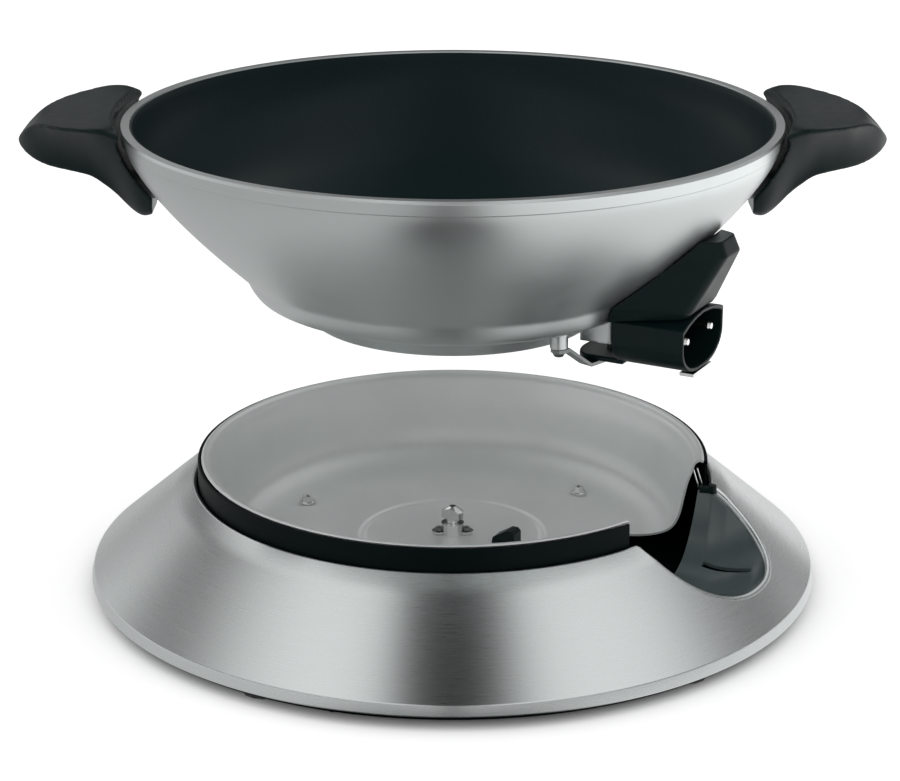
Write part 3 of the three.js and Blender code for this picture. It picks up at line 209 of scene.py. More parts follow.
# Reflector dish and its notch
REFLECTOR_FLOOR = 23.0
REFLECTOR_WALL = 1.2
REFLECTOR_LINE = [
    (147.0, 75.3), (145.6, 76.0), (143.2, 75.3), (141.0, 73.0), (139.4, 67.8), (136.9, 59.6),
    (134.9, 49.5), (132.6, 38.5), (129.0, 31.3), (123.5, 27.0), (116.0, 24.2), (107.0, 23.0),
    (95.0, 23.0),
]
GROOVE_RADIUS = 53.5
GROOVE_WIDTH = 3.2
GROOVE_DEPTH = 0.9
GROOVE_STEPS = 12
CENTRE_HOLE = 10.0
NOTCH_INNER = 73.0
NOTCH_KNEE = 118.0
NOTCH_NEAR = -52.6
NOTCH_FAR = 52.0
NOTCH_NEAR_ROUND = 30.0
NOTCH_FAR_ROUND = 46.0
NOTCH_STEPS = 10
# Dark plate under the notch, painted shade where only shade falls: its margin and thickness
SHADE_PLATE_MARGIN = 34.0
SHADE_PLATE_THICKNESS = 1.4
COLLAR_NOTCH_MARGIN = 2.5
COLLAR_RISE = 0.9
COLLAR_WALL = 1.5
COLLAR_OUTER_ROUND = 0.7
COLLAR_INNER_ROUND = 0.5

# Handles: lengths from the axis and the rim plane, then their shares from root to tip
HANDLE_ROOT = 150.0
HANDLE_HALF_WIDTH = 58.0
HANDLE_RISE = 6.8
HANDLE_DROP = 55.0
HANDLE_DISH = 2.6
HANDLE_DROOP_POWER = 4
HANDLE_EDGE = 1.6
HANDLE_GAP = 4.0
HANDLE_TAIL_INNER = 169.5
HANDLE_STATIONS = [0, 0.2, 0.24, 0.28, 0.33, 0.4, 0.46, 0.53, 0.6, 0.71, 0.79, 0.87, 0.94, 0.985, 1]
HANDLE_WIDTHS = [0.97, 0.98, 0.98, 0.98, 0.99, 1, 1, 0.97, 0.9, 0.75, 0.59, 0.41, 0.25, 0.11, 0.03]
HANDLE_TOPS = [1, 1, 1, 1, 1, 0.98, 0.96, 0.92, 0.83, 0.66, 0.5, 0.12, -0.66, -1.4, -1.9]
HANDLE_DROOPS = [1.6, 1.3, 1.15, 0.95, 0.6, 0.2, 0.05, 0, 0, 0, 0, 0, 0, 0, 0]
HANDLE_BOTTOMS = [0.93, 0.985, 1, 0.973, 0.89, 0.74, 0.635, 0.54, 0.5, 0.465, 0.44, 0.4, 0.345, 0.285, 0.23]
HANDLE_KEELS = [0.33, 0.33, 0.33, 0.34, 0.37, 0.43, 0.48, 0.51, 0.51, 0.46, 0.4, 0.31, 0.19, 0.08, 0.025]
HANDLE_SIDE_POWERS = [0.8, 0.8, 0.8, 0.8, 0.9, 1.1, 1.3, 1.5, 1.6, 1.7, 1.7, 1.7, 1.7, 1.7, 1.7]
HANDLE_TOP_STEPS = 40
HANDLE_SIDE_STEPS = 20
HANDLE_KEEL_STEPS = 14
BRACKET_HALF_WIDTH = 13.0
BRACKET_TOP = 27.0
BRACKET_BOTTOM = 53.0
BRACKET_ARM_BOTTOM = 44.0
BRACKET_INNER = 169.3
BRACKET_REACH = 174.0
BRACKET_FIT = 0.6
HANDLE_SCREW_ROWS = (-7.0, 7.0)
HANDLE_SCREW_DEPTH = 36.0
HANDLE_SCREW_HEAD = 8.1
HANDLE_SCREW_SEAT = 180.0

# Probe socket, guard, pad and lug, in the frame of the bay
SOCKET_HALF_WIDTH = 28.8
SOCKET_TOP = 96.0
SOCKET_ARCH = 5.5
SOCKET_SIDE = 11.0
SOCKET_DEPTH = 28.0
SOCKET_BOTTOM_POWER = 0.8
SOCKET_WALL = 2.2
SOCKET_INNER = 113.0
SOCKET_OUTER = 155.4
SOCKET_STEPS = 48
TONGUE_INNER = 84.0
TONGUE_HEIGHT = 9.0
TONGUE_HALF_WIDTH = 17.0
TONGUE_THICKNESS = 3.0
ELEMENT_BORE = 7.6
TERMINAL_DEPTH = 105.0
TERMINAL_SPACING = 33.0
GUARD_INNER = 105.0
GUARD_REACH = 150.0
GUARD_LEAN = 21.5
GUARD_HEIGHT = 47.5
GUARD_ROOT_HALF = 37.0
GUARD_FACE_HALF = 15.5
GUARD_RISE_SHARES = [0, 0.17, 0.82, 1]
GUARD_LEAN_SHARES = [0, 0.26, 1, 0.84]
GUARD_ROOT_SHARES = [0.89, 1, 1, 1]
GUARD_FACE_SHARES = [1, 1, 0.52, 0.45]
GUARD_STEPS = 8
GUARD_WALL = 2.4
GUARD_ROUND = 6.0
GUARD_GAP = 0.8
PAD_INNER = 92.0
PAD_OUTER = 112.0
PAD_HALF_WIDTH = 24.0
PAD_DEPTH = 111.0
PAD_ROOT_DEPTH = 91.0
PAD_CORNER = 4.0
LUG_PLACE = (88.0, -42.0)
LUG_RADIUS = 5.0
LUG_DEPTH = 111.0
LUG_FLARE = [(0.0, 0.92), (0.5, 1.0), (6.0, 1.0), (10.0, 1.12), (14.0, 1.6)]

# Finishes: colour, roughness, how metallic and how glossy. A grain or cloud has its size in
# millimetres and its detail, a turn stretches it round the axis and up, a relief has its depth
# and strength, shades span the brightness and a spread is that of the roughness
SKIRT_FINISH = ((0.615, 0.645, 0.642), 0.28, 1.0)
SKIRT_GRAIN = (0.35, 3.0)
SKIRT_GRAIN_TURN = (3.0, 1.0)
SKIRT_BANDS = (2.5, 2.0)
SKIRT_BANDS_TURN = (6.0, 1.0)
SKIRT_BANDS_SHARE = 0.4
SKIRT_SHADES = (0.96, 1.02)
SKIRT_SPREAD = 0.03
SKIRT_RELIEF = (0.01, 0.16)
SKIRT_STRETCH = 0.75
BOWL_FINISH = ((0.61, 0.645, 0.64), 0.38, 0.95)
BOWL_GRAIN = (0.3, 2.0)
BOWL_GRAIN_TURN = (2.0, 1.0)
BOWL_CLOUD = (22.0, 3.0)
BOWL_CLOUD_SHARE = 0.5
BOWL_SHADES = (0.93, 1.04)
BOWL_SPREAD = 0.04
BOWL_RELIEF = (0.006, 0.3)
BOWL_STRETCH = 0.45
LINING_FINISH = ((0.004, 0.015, 0.0165), 0.42, 0.0, 0.16)
LINING_SPECK = (0.9, 1.0)
LINING_SPECK_SPAN = (-1.9, 1.0)
LINING_CLOUD = (40.0, 3.0)
LINING_GRAIN = (0.8, 2.0)
LINING_SHADES = (1.0, 4.0)
LINING_SPREAD = 0.03
LINING_RELIEF = (0.04, 0.5)
DISH_FINISH = ((0.83, 0.855, 0.85), 0.46, 0.5)
DISH_GRAIN = (0.5, 3.0)
DISH_GRAIN_TURN = (4.0, 1.0)
DISH_CLOUD = (30.0, 4.0)
DISH_CLOUD_SHARE = 0.7
DISH_SHADES = (0.9, 1.06)
DISH_SPREAD = 0.06
DISH_RELIEF = (0.01, 0.4)
PLASTIC_SHADE_CLOUD = (14.0, 3.0)
PLASTIC_GLOSS_CLOUD = (6.0, 4.0)
PLASTIC_GRAIN = (0.45, 2.0)
PLASTIC_SHADES = (0.85, 1.2)
PLASTIC_SPREAD = 0.05
PLASTIC_RELIEF_STRENGTH = 0.5
METAL_SHADE_CLOUD = (1.5, 4.0)
METAL_GLOSS_CLOUD = (0.8, 3.0)
METAL_GRAIN = (0.3, 2.0)
METAL_SHADES = (0.85, 1.08)
METAL_SPREAD = 0.06
METAL_RELIEF = (0.01, 0.4)
TURNED_ROTATION = 0.25

# Moulded pieces: colour, roughness, depth of the grain, how glossy
PLASTICS = {
    "black_plastic": ((0.004, 0.0125, 0.0125), 0.38, 0.012, 0.16),
    "tray_black": ((0.09, 0.115, 0.117), 0.24, 0.004, 0.6),
    # Darker copy of black_plastic under the same slot: painted shade for black parts that sit in shade
    "shaded_black_plastic": ((0.001, 0.005, 0.005), 0.5, 0.01, 0.08),
    "foot_rubber": ((0.02, 0.02, 0.02), 0.7, 0.03, 0.5),
}

# Small metal pieces: colour, roughness
METALS = {
    "bright_steel": ((0.75, 0.76, 0.75), 0.2),
    "dark_steel": ((0.2, 0.21, 0.21), 0.32),
    "element_metal": ((0.35, 0.35, 0.35), 0.45),
}

# Studio: grey levels at shares of a span, over the world from left to right and from overhead
# to behind the object, and over the floor from left to right, as metal mirrors it
WORLD_STRIPS = [
    (0.0, 0.7), (0.1, 1.0), (0.148, 0.75), (0.18, 0.0), (0.215, 0.0), (0.265, 0.95), (0.32, 1.15),
    (0.4, 1.1), (0.45, 0.0), (0.54, 0.0), (0.62, 1.1), (0.74, 1.15), (0.79, 0.2), (0.815, 0.0),
    (0.84, 0.12), (0.885, 0.65), (0.94, 0.55), (1.0, 0.4),
]
WORLD_BEHIND = [(0.0, 1.0), (0.6, 1.0), (0.85, 0.65), (1.0, 0.28)]
FLOOR_STRIPS = [
    (0.0, 0.55), (0.4, 0.66), (0.455, 0.02), (0.535, 0.02), (0.6, 0.95), (0.8, 1.05), (1.0, 1.6),
]
FLOOR_STRIPS_REACH = 600.0
FLOOR_REACH = 6000.0
FLOOR_GREY = 0.8
FLOOR_LIFT = 0.66
CONTACT_REACH = 120.0
CONTACT_SAMPLES = 8


def in_bay(along, across, height=0.0):
    """A point given in the frame of the bay, turned to where the bay points."""
    angle = math.radians(BAY_AZIMUTH)
    return (
        along * math.cos(angle) - across * math.sin(angle),
        along * math.sin(angle) + across * math.cos(angle),
        height,
    )


def spline(points, steps=SPLINE_STEPS):
    """Points of a smooth line through the given points, ends included."""
    padded = [points[0]] + list(points) + [points[-1]]
    line = []
    for i in range(len(points) - 1):
        p0, p1, p2, p3 = padded[i:i + 4]
        for j in range(steps):
            t = j / steps
            line.append(tuple(
                0.5 * (2 * b + (c - a) * t + (2 * a - 5 * b + 4 * c - d) * t ** 2
                       + (3 * b - a - 3 * c + d) * t ** 3)
                for a, b, c, d in zip(p0, p1, p2, p3)
            ))
    line.append(tuple(points[-1]))
    return line


def circle(x, y, radius, steps):
    """Points round a centre in a plane."""
    turns = [2 * math.pi * i / steps for i in range(steps)]
    return [(x + radius * math.cos(turn), y + radius * math.sin(turn)) for turn in turns]


def bar_plan(ends, width):
    """Plan of a straight bar between two points of the bay."""
    start, end = (Vector(point) for point in ends)
    side = (end - start).orthogonal().normalized() * width / 2
    return [in_bay(*point)[:2] for point in (start - side, start + side, end + side, end - side)]


def rounded(corners, steps=ARC_STEPS):
    """Outline whose corners, given as (x, y, radius), are rounded by arcs."""
    outline = []
    count = len(corners)
    for i, (x, y, radius) in enumerate(corners):
        if radius <= 0:
            outline.append((x, y))
            continue
        here = Vector((x, y))
        back = Vector(corners[i - 1][:2]) - here
        ahead = Vector(corners[(i + 1) % count][:2]) - here
        half = back.angle(ahead) / 2
        reach = min(radius / math.tan(half), back.length / 2, ahead.length / 2)
        start = here + back.normalized() * reach
        end = here + ahead.normalized() * reach
        for j in range(steps + 1):
            t = j / steps
            point = start * (1 - t) ** 2 + here * 2 * t * (1 - t) + end * t ** 2
            outline.append((point.x, point.y))
    return outline


def mesh_object(name, points, faces):
    """A mesh object from points in millimetres, its faces turned outward."""
    mesh = bpy.data.meshes.new(name)
    mesh.from_pydata([Vector(point) * MM for point in points], [], faces)
    work = bmesh.new()
    work.from_mesh(mesh)
    bmesh.ops.recalc_face_normals(work, faces=work.faces)
    if work.calc_volume(signed=True) < 0:
        bmesh.ops.reverse_faces(work, faces=work.faces)
    work.to_mesh(mesh)
    work.free()
    obj = bpy.data.objects.new(name, mesh)
    bpy.context.scene.collection.objects.link(obj)
    return obj


def revolved(name, outline, steps=ROUND_STEPS):
    """A closed outline of (radius, height) turned round Z."""
    points, faces, rows = [], [], []
    for radius, height in outline:
        if radius == 0:
            rows.append([len(points)])
            points.append((0, 0, height))
            continue
        rows.append(list(range(len(points), len(points) + steps)))
        points += [(x, y, height) for x, y in circle(0, 0, radius, steps)]
    for low, high in zip(rows, rows[1:] + rows[:1]):
        if len(low) == 1 and len(high) == 1:
            continue
        for i in range(steps):
            j = (i + 1) % steps
            quad = [low[i % len(low)], low[j % len(low)], high[j % len(high)], high[i % len(high)]]
            faces.append(list(dict.fromkeys(quad)))
    return mesh_object(name, points, faces)


def lofted(name, rings):
    """Closed rings of as many points each, skinned and capped."""
    count = len(rings[0])
    points = [point for ring in rings for point in ring]
    faces = []
    for i in range(len(rings) - 1):
        for j in range(count):
            k = (j + 1) % count
            faces.append([i * count + j, i * count + k, (i + 1) * count + k, (i + 1) * count + j])
    faces.append(list(range(count)))
    faces.append([(len(rings) - 1) * count + j for j in range(count)])
    return mesh_object(name, points, faces)


def prism(name, outline, bottom, top):
    """An outline in plan, made solid from one height to another."""
    return lofted(name, [[(x, y, z) for x, y in outline] for z in (bottom, top)])


def bake(obj):
    """Makes the result of the modifiers the mesh of the object."""
    evaluated = obj.evaluated_get(bpy.context.evaluated_depsgraph_get())
    mesh = bpy.data.meshes.new_from_object(evaluated)
    obj.modifiers.clear()
    obj.data = mesh
    return obj


def combine(obj, other, operation="DIFFERENCE"):
    """Cuts another solid out of the object, joins it or keeps what they share."""
    modifier = obj.modifiers.new("combine", "BOOLEAN")
    modifier.operation = operation
    modifier.solver = "EXACT"
    modifier.object = other
    bake(obj)
    bpy.data.objects.remove(other)


def soften(obj, kind):
    """Remeshes a solid finely and rounds its edges, as a moulding has them."""
    voxel, passes = SOFTENING[kind]
    remesh = obj.modifiers.new("remesh", "REMESH")
    remesh.mode = "VOXEL"
    remesh.voxel_size = voxel * MM
    smooth = obj.modifiers.new("smooth", "SMOOTH")
    smooth.iterations = passes
    return bake(obj)


def bevelled(obj, width):
    """Rounds the hard edges of a piece with a modifier that stays on it."""
    modifier = obj.modifiers.new("bevel", "BEVEL")
    modifier.width = width * MM
    modifier.segments = 2
    modifier.limit_method = "ANGLE"
    modifier.angle_limit = math.radians(BEVEL_ANGLE)


def shade(obj, sharp=SHARP_ANGLE):
    """Smooth shading that keeps edges above the sharp angle."""
    for polygon in obj.data.polygons:
        polygon.use_smooth = True
    obj.data.set_sharp_from_angle(angle=math.radians(sharp))
    return obj


def dress(obj, material, body, slot, *replaced):
    """Gives a piece its material, its body and the nodes it stands for; the slot is not used."""
    obj.data.materials.clear()
    obj.data.materials.append(material)
    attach(obj, body)
    if replaced:
        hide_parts(*replaced)


class Finish:
    """A node material whose textures run in millimetres, with helpers to layer them."""

    def __init__(self, name, colour, roughness, metallic=0.0, specular=0.5):
        self.material = bpy.data.materials.new(name)
        self.material.use_nodes = True
        self.nodes = self.material.node_tree.nodes
        self.links = self.material.node_tree.links
        self.shader = self.nodes["Principled BSDF"]
        self.colour = colour
        self.roughness = roughness
        self.shader.inputs["Base Color"].default_value = (*colour, 1)
        self.shader.inputs["Roughness"].default_value = roughness
        self.shader.inputs["Metallic"].default_value = metallic
        self.shader.inputs["Specular IOR Level"].default_value = specular
        self.normal = None
        coordinates = self.add("ShaderNodeTexCoord")
        scale = self.add("ShaderNodeVectorMath")
        scale.operation = "SCALE"
        scale.inputs["Scale"].default_value = 1 / MM
        self.links.new(coordinates.outputs["Object"], scale.inputs[0])
        self.place = scale.outputs[0]

    def add(self, kind, **values):
        node = self.nodes.new(kind)
        for name, value in values.items():
            node.inputs[name].default_value = value
        return node

    def math(self, operation, first, second=0.0):
        node = self.nodes.new("ShaderNodeMath")
        node.operation = operation
        for socket, value in zip(node.inputs, (first, second)):
            if isinstance(value, (int, float)):
                socket.default_value = value
            else:
                self.links.new(value, socket)
        return node.outputs[0]

    def noise(self, size, detail, place=None):
        """Soft noise from 0 to 1 whose blobs are about that many millimetres across."""
        node = self.add("ShaderNodeTexNoise", Scale=1 / size, Detail=detail)
        self.links.new(place or self.place, node.inputs["Vector"])
        return node.outputs["Fac"]

    def turned_place(self, around, up):
        """Place for grain that runs round Z: stretched around, fine up the wall."""
        split = self.nodes.new("ShaderNodeSeparateXYZ")
        self.links.new(self.place, split.inputs[0])
        angle = self.math("ARCTAN2", split.outputs["Y"], split.outputs["X"])
        x2 = self.math("MULTIPLY", split.outputs["X"], split.outputs["X"])
        y2 = self.math("MULTIPLY", split.outputs["Y"], split.outputs["Y"])
        radius = self.math("SQRT", self.math("ADD", x2, y2))
        join = self.nodes.new("ShaderNodeCombineXYZ")
        self.links.new(self.math("MULTIPLY", angle, around), join.inputs["X"])
        self.links.new(self.math("MULTIPLY", radius, up), join.inputs["Y"])
        self.links.new(self.math("MULTIPLY", split.outputs["Z"], up), join.inputs["Z"])
        return join.outputs[0]

    def between(self, factor, low, high):
        """Maps a factor of 0 to 1 on to the span from low to high."""
        node = self.add("ShaderNodeMapRange")
        node.inputs["To Min"].default_value = low
        node.inputs["To Max"].default_value = high
        self.links.new(factor, node.inputs["Value"])
        return node.outputs["Result"]

    def blend(self, first, second, share):
        """Two factors added by shares that make one."""
        one = self.math("MULTIPLY", first, share)
        return self.math("ADD", one, self.math("MULTIPLY", second, 1 - share))

    def vary_roughness(self, factor, amount):
        value = self.between(factor, self.roughness - amount, self.roughness + amount)
        self.links.new(value, self.shader.inputs["Roughness"])

    def vary_colour(self, factor, low, high):
        """Multiplies the colour by a span of brightness."""
        mix = self.nodes.new("ShaderNodeMix")
        mix.data_type = "RGBA"
        mix.inputs["A"].default_value = (*[c * low for c in self.colour], 1)
        mix.inputs["B"].default_value = (*[c * high for c in self.colour], 1)
        self.links.new(factor, mix.inputs["Factor"])
        self.links.new(mix.outputs["Result"], self.shader.inputs["Base Color"])

    def bump(self, height, depth, strength):
        """Adds relief of that depth in millimetres."""
        node = self.add("ShaderNodeBump", Strength=strength, Distance=depth * MM)
        self.links.new(height, node.inputs["Height"])
        if self.normal:
            self.links.new(self.normal, node.inputs["Normal"])
        self.normal = node.outputs["Normal"]
        self.links.new(self.normal, self.shader.inputs["Normal"])

    def turn_highlights(self, anisotropy):
        """Highlights that stretch across grain running round Z."""
        tangent = self.nodes.new("ShaderNodeTangent")
        tangent.direction_type = "RADIAL"
        tangent.axis = "Z"
        self.links.new(tangent.outputs[0], self.shader.inputs["Tangent"])
        self.shader.inputs["Anisotropic"].default_value = anisotropy
        self.shader.inputs["Anisotropic Rotation"].default_value = TURNED_ROTATION


def brushed_steel():
    """Steel sheet brushed round the axis."""
    finish = Finish("brushed_skirt", *SKIRT_FINISH)
    finish.turn_highlights(SKIRT_STRETCH)
    grain = finish.noise(*SKIRT_GRAIN, finish.turned_place(*SKIRT_GRAIN_TURN))
    bands = finish.noise(*SKIRT_BANDS, finish.turned_place(*SKIRT_BANDS_TURN))
    both = finish.math("ADD", grain, finish.math("MULTIPLY", bands, SKIRT_BANDS_SHARE))
    finish.vary_colour(both, *SKIRT_SHADES)
    finish.vary_roughness(grain, SKIRT_SPREAD)
    finish.bump(grain, *SKIRT_RELIEF)
    return finish.material


def cast_aluminium():
    """Satin casting, turned very finely."""
    finish = Finish("cast_aluminium", *BOWL_FINISH)
    finish.turn_highlights(BOWL_STRETCH)
    grain = finish.noise(*BOWL_GRAIN, finish.turned_place(*BOWL_GRAIN_TURN))
    cloud = finish.noise(*BOWL_CLOUD)
    finish.vary_colour(finish.blend(cloud, grain, BOWL_CLOUD_SHARE), *BOWL_SHADES)
    finish.vary_roughness(cloud, BOWL_SPREAD)
    finish.bump(grain, *BOWL_RELIEF)
    return finish.material


def nonstick_coating():
    """Black coating with fine pale speckle."""
    finish = Finish("nonstick_black", *LINING_FINISH)
    speck = finish.between(finish.noise(*LINING_SPECK), *LINING_SPECK_SPAN)
    finish.vary_colour(finish.math("MAXIMUM", speck, 0.0), *LINING_SHADES)
    finish.vary_roughness(finish.noise(*LINING_CLOUD), LINING_SPREAD)
    finish.bump(finish.noise(*LINING_GRAIN), *LINING_RELIEF)
    return finish.material


def reflector_sheet():
    """Dull pressed sheet of the dish."""
    finish = Finish("reflector_grey", *DISH_FINISH)
    cloud = finish.noise(*DISH_CLOUD)
    grain = finish.noise(*DISH_GRAIN, finish.turned_place(*DISH_GRAIN_TURN))
    finish.vary_colour(finish.blend(cloud, grain, DISH_CLOUD_SHARE), *DISH_SHADES)
    finish.vary_roughness(cloud, DISH_SPREAD)
    finish.bump(grain, *DISH_RELIEF)
    return finish.material


def moulded_plastic(name, colour, roughness, grain_depth, specular):
    """Black plastic with a fine moulding grain."""
    finish = Finish(name, colour, roughness, specular=specular)
    finish.vary_colour(finish.noise(*PLASTIC_SHADE_CLOUD), *PLASTIC_SHADES)
    finish.vary_roughness(finish.noise(*PLASTIC_GLOSS_CLOUD), PLASTIC_SPREAD)
    finish.bump(finish.noise(*PLASTIC_GRAIN), grain_depth, PLASTIC_RELIEF_STRENGTH)
    return finish.material


def small_metal(name, colour, roughness):
    """Metal of screws, pins and straps, with fine scratches."""
    finish = Finish(name, colour, roughness, 1.0)
    finish.vary_colour(finish.noise(*METAL_SHADE_CLOUD), *METAL_SHADES)
    finish.vary_roughness(finish.noise(*METAL_GLOSS_CLOUD), METAL_SPREAD)
    finish.bump(finish.noise(*METAL_GRAIN), *METAL_RELIEF)
    return finish.material


MATERIALS = {
    "brushed_skirt": brushed_steel(),
    "cast_aluminium": cast_aluminium(),
    "nonstick_black": nonstick_coating(),
    "reflector_grey": reflector_sheet(),
}
MATERIALS |= {name: moulded_plastic(name, *values) for name, values in PLASTICS.items()}
MATERIALS |= {name: small_metal(name, *values) for name, values in METALS.items()}


def wall_radius(depth):
    """Radius of the bowl's wall at a depth below the rim plane."""
    band = RIM_RADIUS - RIM_DRAFT - CREASE_STEP
    share = min(max((depth - RIM_BAND) / (BULGE_DEPTH - RIM_BAND), 0), 1)
    return BULGE_RADIUS + (band - BULGE_RADIUS) * (1 - share ** WALL_POWER)


def bowl_outer(gap=0.0):
    """Outside of the bowl from the foot up to the rim, heights over the rim plane."""
    foot = -BOWL_HEIGHT
    crease = foot + FOOT_HEIGHT
    ring = rounded([
        (FOOT_RADIUS, foot, 0),
        (FOOT_TOP_RADIUS - FOOT_DRAFT, crease - FOOT_BAND, FOOT_ROUND),
        (FOOT_TOP_RADIUS, crease, 0),
    ])
    belly = [(FOOT_TOP_RADIUS, crease)]
    belly += [(radius, crease + rise) for radius, rise in BELLY_LINE]
    belly.append((wall_radius(BULGE_DEPTH - BULGE_STEP), BULGE_STEP - BULGE_DEPTH))
    wall = []
    wall_depth = BULGE_DEPTH - WALL_START
    for i in range(WALL_STEPS + 1):
        depth = wall_depth - (wall_depth - RIM_BAND) * i / WALL_STEPS
        wall.append((wall_radius(depth), -depth))
    rim = rounded([
        (RIM_RADIUS - RIM_DRAFT, -RIM_BAND + CREASE_STEP, 0),
        (RIM_RADIUS, -RIM_EDGE * 2, RIM_EDGE),
        (RIM_RADIUS - RIM_EDGE, 0, 0),
    ], RIM_STEPS)
    line = ring[:-1] + spline(belly)[:-1] + wall + rim
    return [(radius + gap, height) for radius, height in line]


def bowl_inner(inset=0.0):
    """Inside of the bowl from the rim down to the axis."""
    points = [(RIM_RADIUS - RIM_WIDTH - inset, 0)]
    for i in range(1, INNER_BLEND_STEPS + 1):
        depth = INNER_BLEND_DEPTH * i / INNER_BLEND_STEPS
        points.append((wall_radius(depth) - BOWL_WALL - inset, -depth))
    blend = wall_radius(INNER_BLEND_DEPTH) - BOWL_WALL
    for depth_share, radius_share in zip(FLOOR_DEPTH_SHARES, FLOOR_RADIUS_SHARES):
        points.append((blend * radius_share - inset / 2, -BOWL_DEPTH * depth_share + inset))
    points.append((0, -BOWL_DEPTH + inset))
    line = spline(points)
    line[-1] = (0, line[-1][1])
    return line


def lifted(outline):
    """An outline of the bowl set at its height over the base."""
    return [(radius, height + RIM_PLANE) for radius, height in outline]


def bowl_space(gap):
    """Solid of the whole bowl, its outside moved out by a gap."""
    outline = bowl_outer(gap)
    return revolved("bowl_space", lifted([(0, -BOWL_HEIGHT)] + outline + [(0, outline[-1][1])]))


def make_bowl():
    recess = -BOWL_HEIGHT + RECESS_HEIGHT
    outline = [(0, recess), (FOOT_RADIUS - FOOT_WALL, recess), (FOOT_RADIUS - FOOT_WALL, -BOWL_HEIGHT)]
    outline += bowl_outer() + bowl_inner()
    bowl = revolved("bowl_shell", lifted(outline))
    dress(shade(bowl), MATERIALS["cast_aluminium"], "bowl", "cast_aluminium", "wok_bowl")


def make_lining():
    outer = bowl_inner(LINING_GAP)
    inner = bowl_inner(LINING_GAP + LINING_THICKNESS)
    outer[0] = (outer[0][0], -RIM_EDGE)
    inner[0] = (inner[0][0], -RIM_EDGE)
    lining = revolved("bowl_lining", lifted(outer[::-1] + inner))
    dress(shade(lining), MATERIALS["nonstick_black"], "bowl", "nonstick_black", "nonstick_lining")


def superellipse(margin=0.0):
    """The rounded tongue of the cut-out, in the frame of the bay."""
    line = []
    for i in range(CUT_STEPS + 1):
        angle = -math.pi / 2 + math.pi * i / CUT_STEPS
        along = abs(math.cos(angle)) ** (2 / CUT_POWER)
        across = math.copysign(abs(math.sin(angle)) ** (2 / CUT_POWER), math.sin(angle))
        line.append((CUT_START + (CUT_TIP + margin - CUT_START) * along, (CUT_HALF_WIDTH + margin) * across))
    return line


def make_skirt():
    crease_radius = SKIRT_RADIUS - SKIRT_EDGE_DRAFT
    lip = SKIRT_TOP - SKIRT_LIP_DROP
    outline = rounded([
        (SKIRT_RADIUS, SKIRT_BOTTOM, SKIRT_HEM_ROUND),
        (crease_radius, SKIRT_CREASE, SKIRT_CREASE_ROUND),
        (SKIRT_SHOULDER_RADIUS, SKIRT_SHOULDER, SKIRT_SHOULDER_ROUND),
        (SKIRT_TOP_RADIUS, SKIRT_TOP, SKIRT_TOP_ROUND),
        (SKIRT_LIP_RADIUS, lip, SKIRT_LIP_ROUND),
        (SKIRT_LIP_RADIUS + SKIRT_WALL, lip - SKIRT_WALL / 3, 0),
        (SKIRT_TOP_RADIUS, SKIRT_TOP - SKIRT_WALL, 0),
        (SKIRT_SHOULDER_RADIUS - SKIRT_WALL, SKIRT_SHOULDER - SKIRT_WALL, 0),
        (crease_radius - SKIRT_WALL, SKIRT_CREASE, 0),
        (SKIRT_RADIUS - SKIRT_WALL, SKIRT_BOTTOM + SKIRT_WALL, 0),
        (SKIRT_RADIUS - HEM_WIDTH, SKIRT_BOTTOM + SKIRT_WALL, 0),
        (SKIRT_RADIUS - HEM_WIDTH, SKIRT_BOTTOM, 0),
    ])
    skirt = revolved("skirt_sheet", outline)
    half = CUT_HALF_WIDTH + FLANGE_ROLL
    plan = [(NOTCH_KNEE, -half)] + superellipse(FLANGE_ROLL) + [(NOTCH_KNEE, half)]
    turned = [in_bay(along, across)[:2] for along, across in plan]
    combine(skirt, prism("cut", turned, SKIRT_BOTTOM + SKIRT_WALL * 2, SKIRT_TOP + SKIRT_WALL * 2))
    dress(shade(skirt), MATERIALS["brushed_skirt"], "base", "brushed_skirt", "skirt_shell")


def notch_outline(margin=0.0):
    """Plan of the notch of reflector and collar, in the frame of the bay."""
    outer = COLLAR_RADIUS + HEM_WIDTH
    corners = [
        (NOTCH_INNER, NOTCH_NEAR - margin, NOTCH_NEAR_ROUND), (outer, NOTCH_NEAR - margin, 0),
        (outer, NOTCH_FAR + margin, 0), (NOTCH_INNER, NOTCH_FAR + margin, NOTCH_FAR_ROUND),
    ]
    return [in_bay(along, across)[:2] for along, across in rounded(corners, NOTCH_STEPS)]


def shifted(line, distance):
    """An open outline moved to the side by a distance, as the back of a sheet."""
    moved = []
    for i, (x, z) in enumerate(line):
        x0, z0 = line[max(i - 1, 0)]
        x1, z1 = line[min(i + 1, len(line) - 1)]
        length = math.hypot(x1 - x0, z1 - z0)
        moved.append((x - (z1 - z0) / length * distance, z + (x1 - x0) / length * distance))
    return moved


def reflector_line():
    """Upper face of the dish, from its rolled rim to the middle."""
    line = spline(REFLECTOR_LINE)
    for i in range(GROOVE_STEPS + 1):
        share = i / GROOVE_STEPS
        drop = GROOVE_DEPTH * math.sin(math.pi * share) ** 2
        line.append((GROOVE_RADIUS + GROOVE_WIDTH * (1 - 2 * share), REFLECTOR_FLOOR - drop))
    line.append((CENTRE_HOLE / 2, REFLECTOR_FLOOR))
    return line


def make_reflector():
    line = reflector_line()
    dish = revolved("reflector_dish", line + shifted(line, REFLECTOR_WALL)[::-1])
    combine(dish, prism("notch", notch_outline(), COLLAR_BOTTOM, REFLECTOR_RIM + HEM_WIDTH))
    dress(shade(dish), MATERIALS["reflector_grey"], "base", "reflector_grey", "heat_reflector")


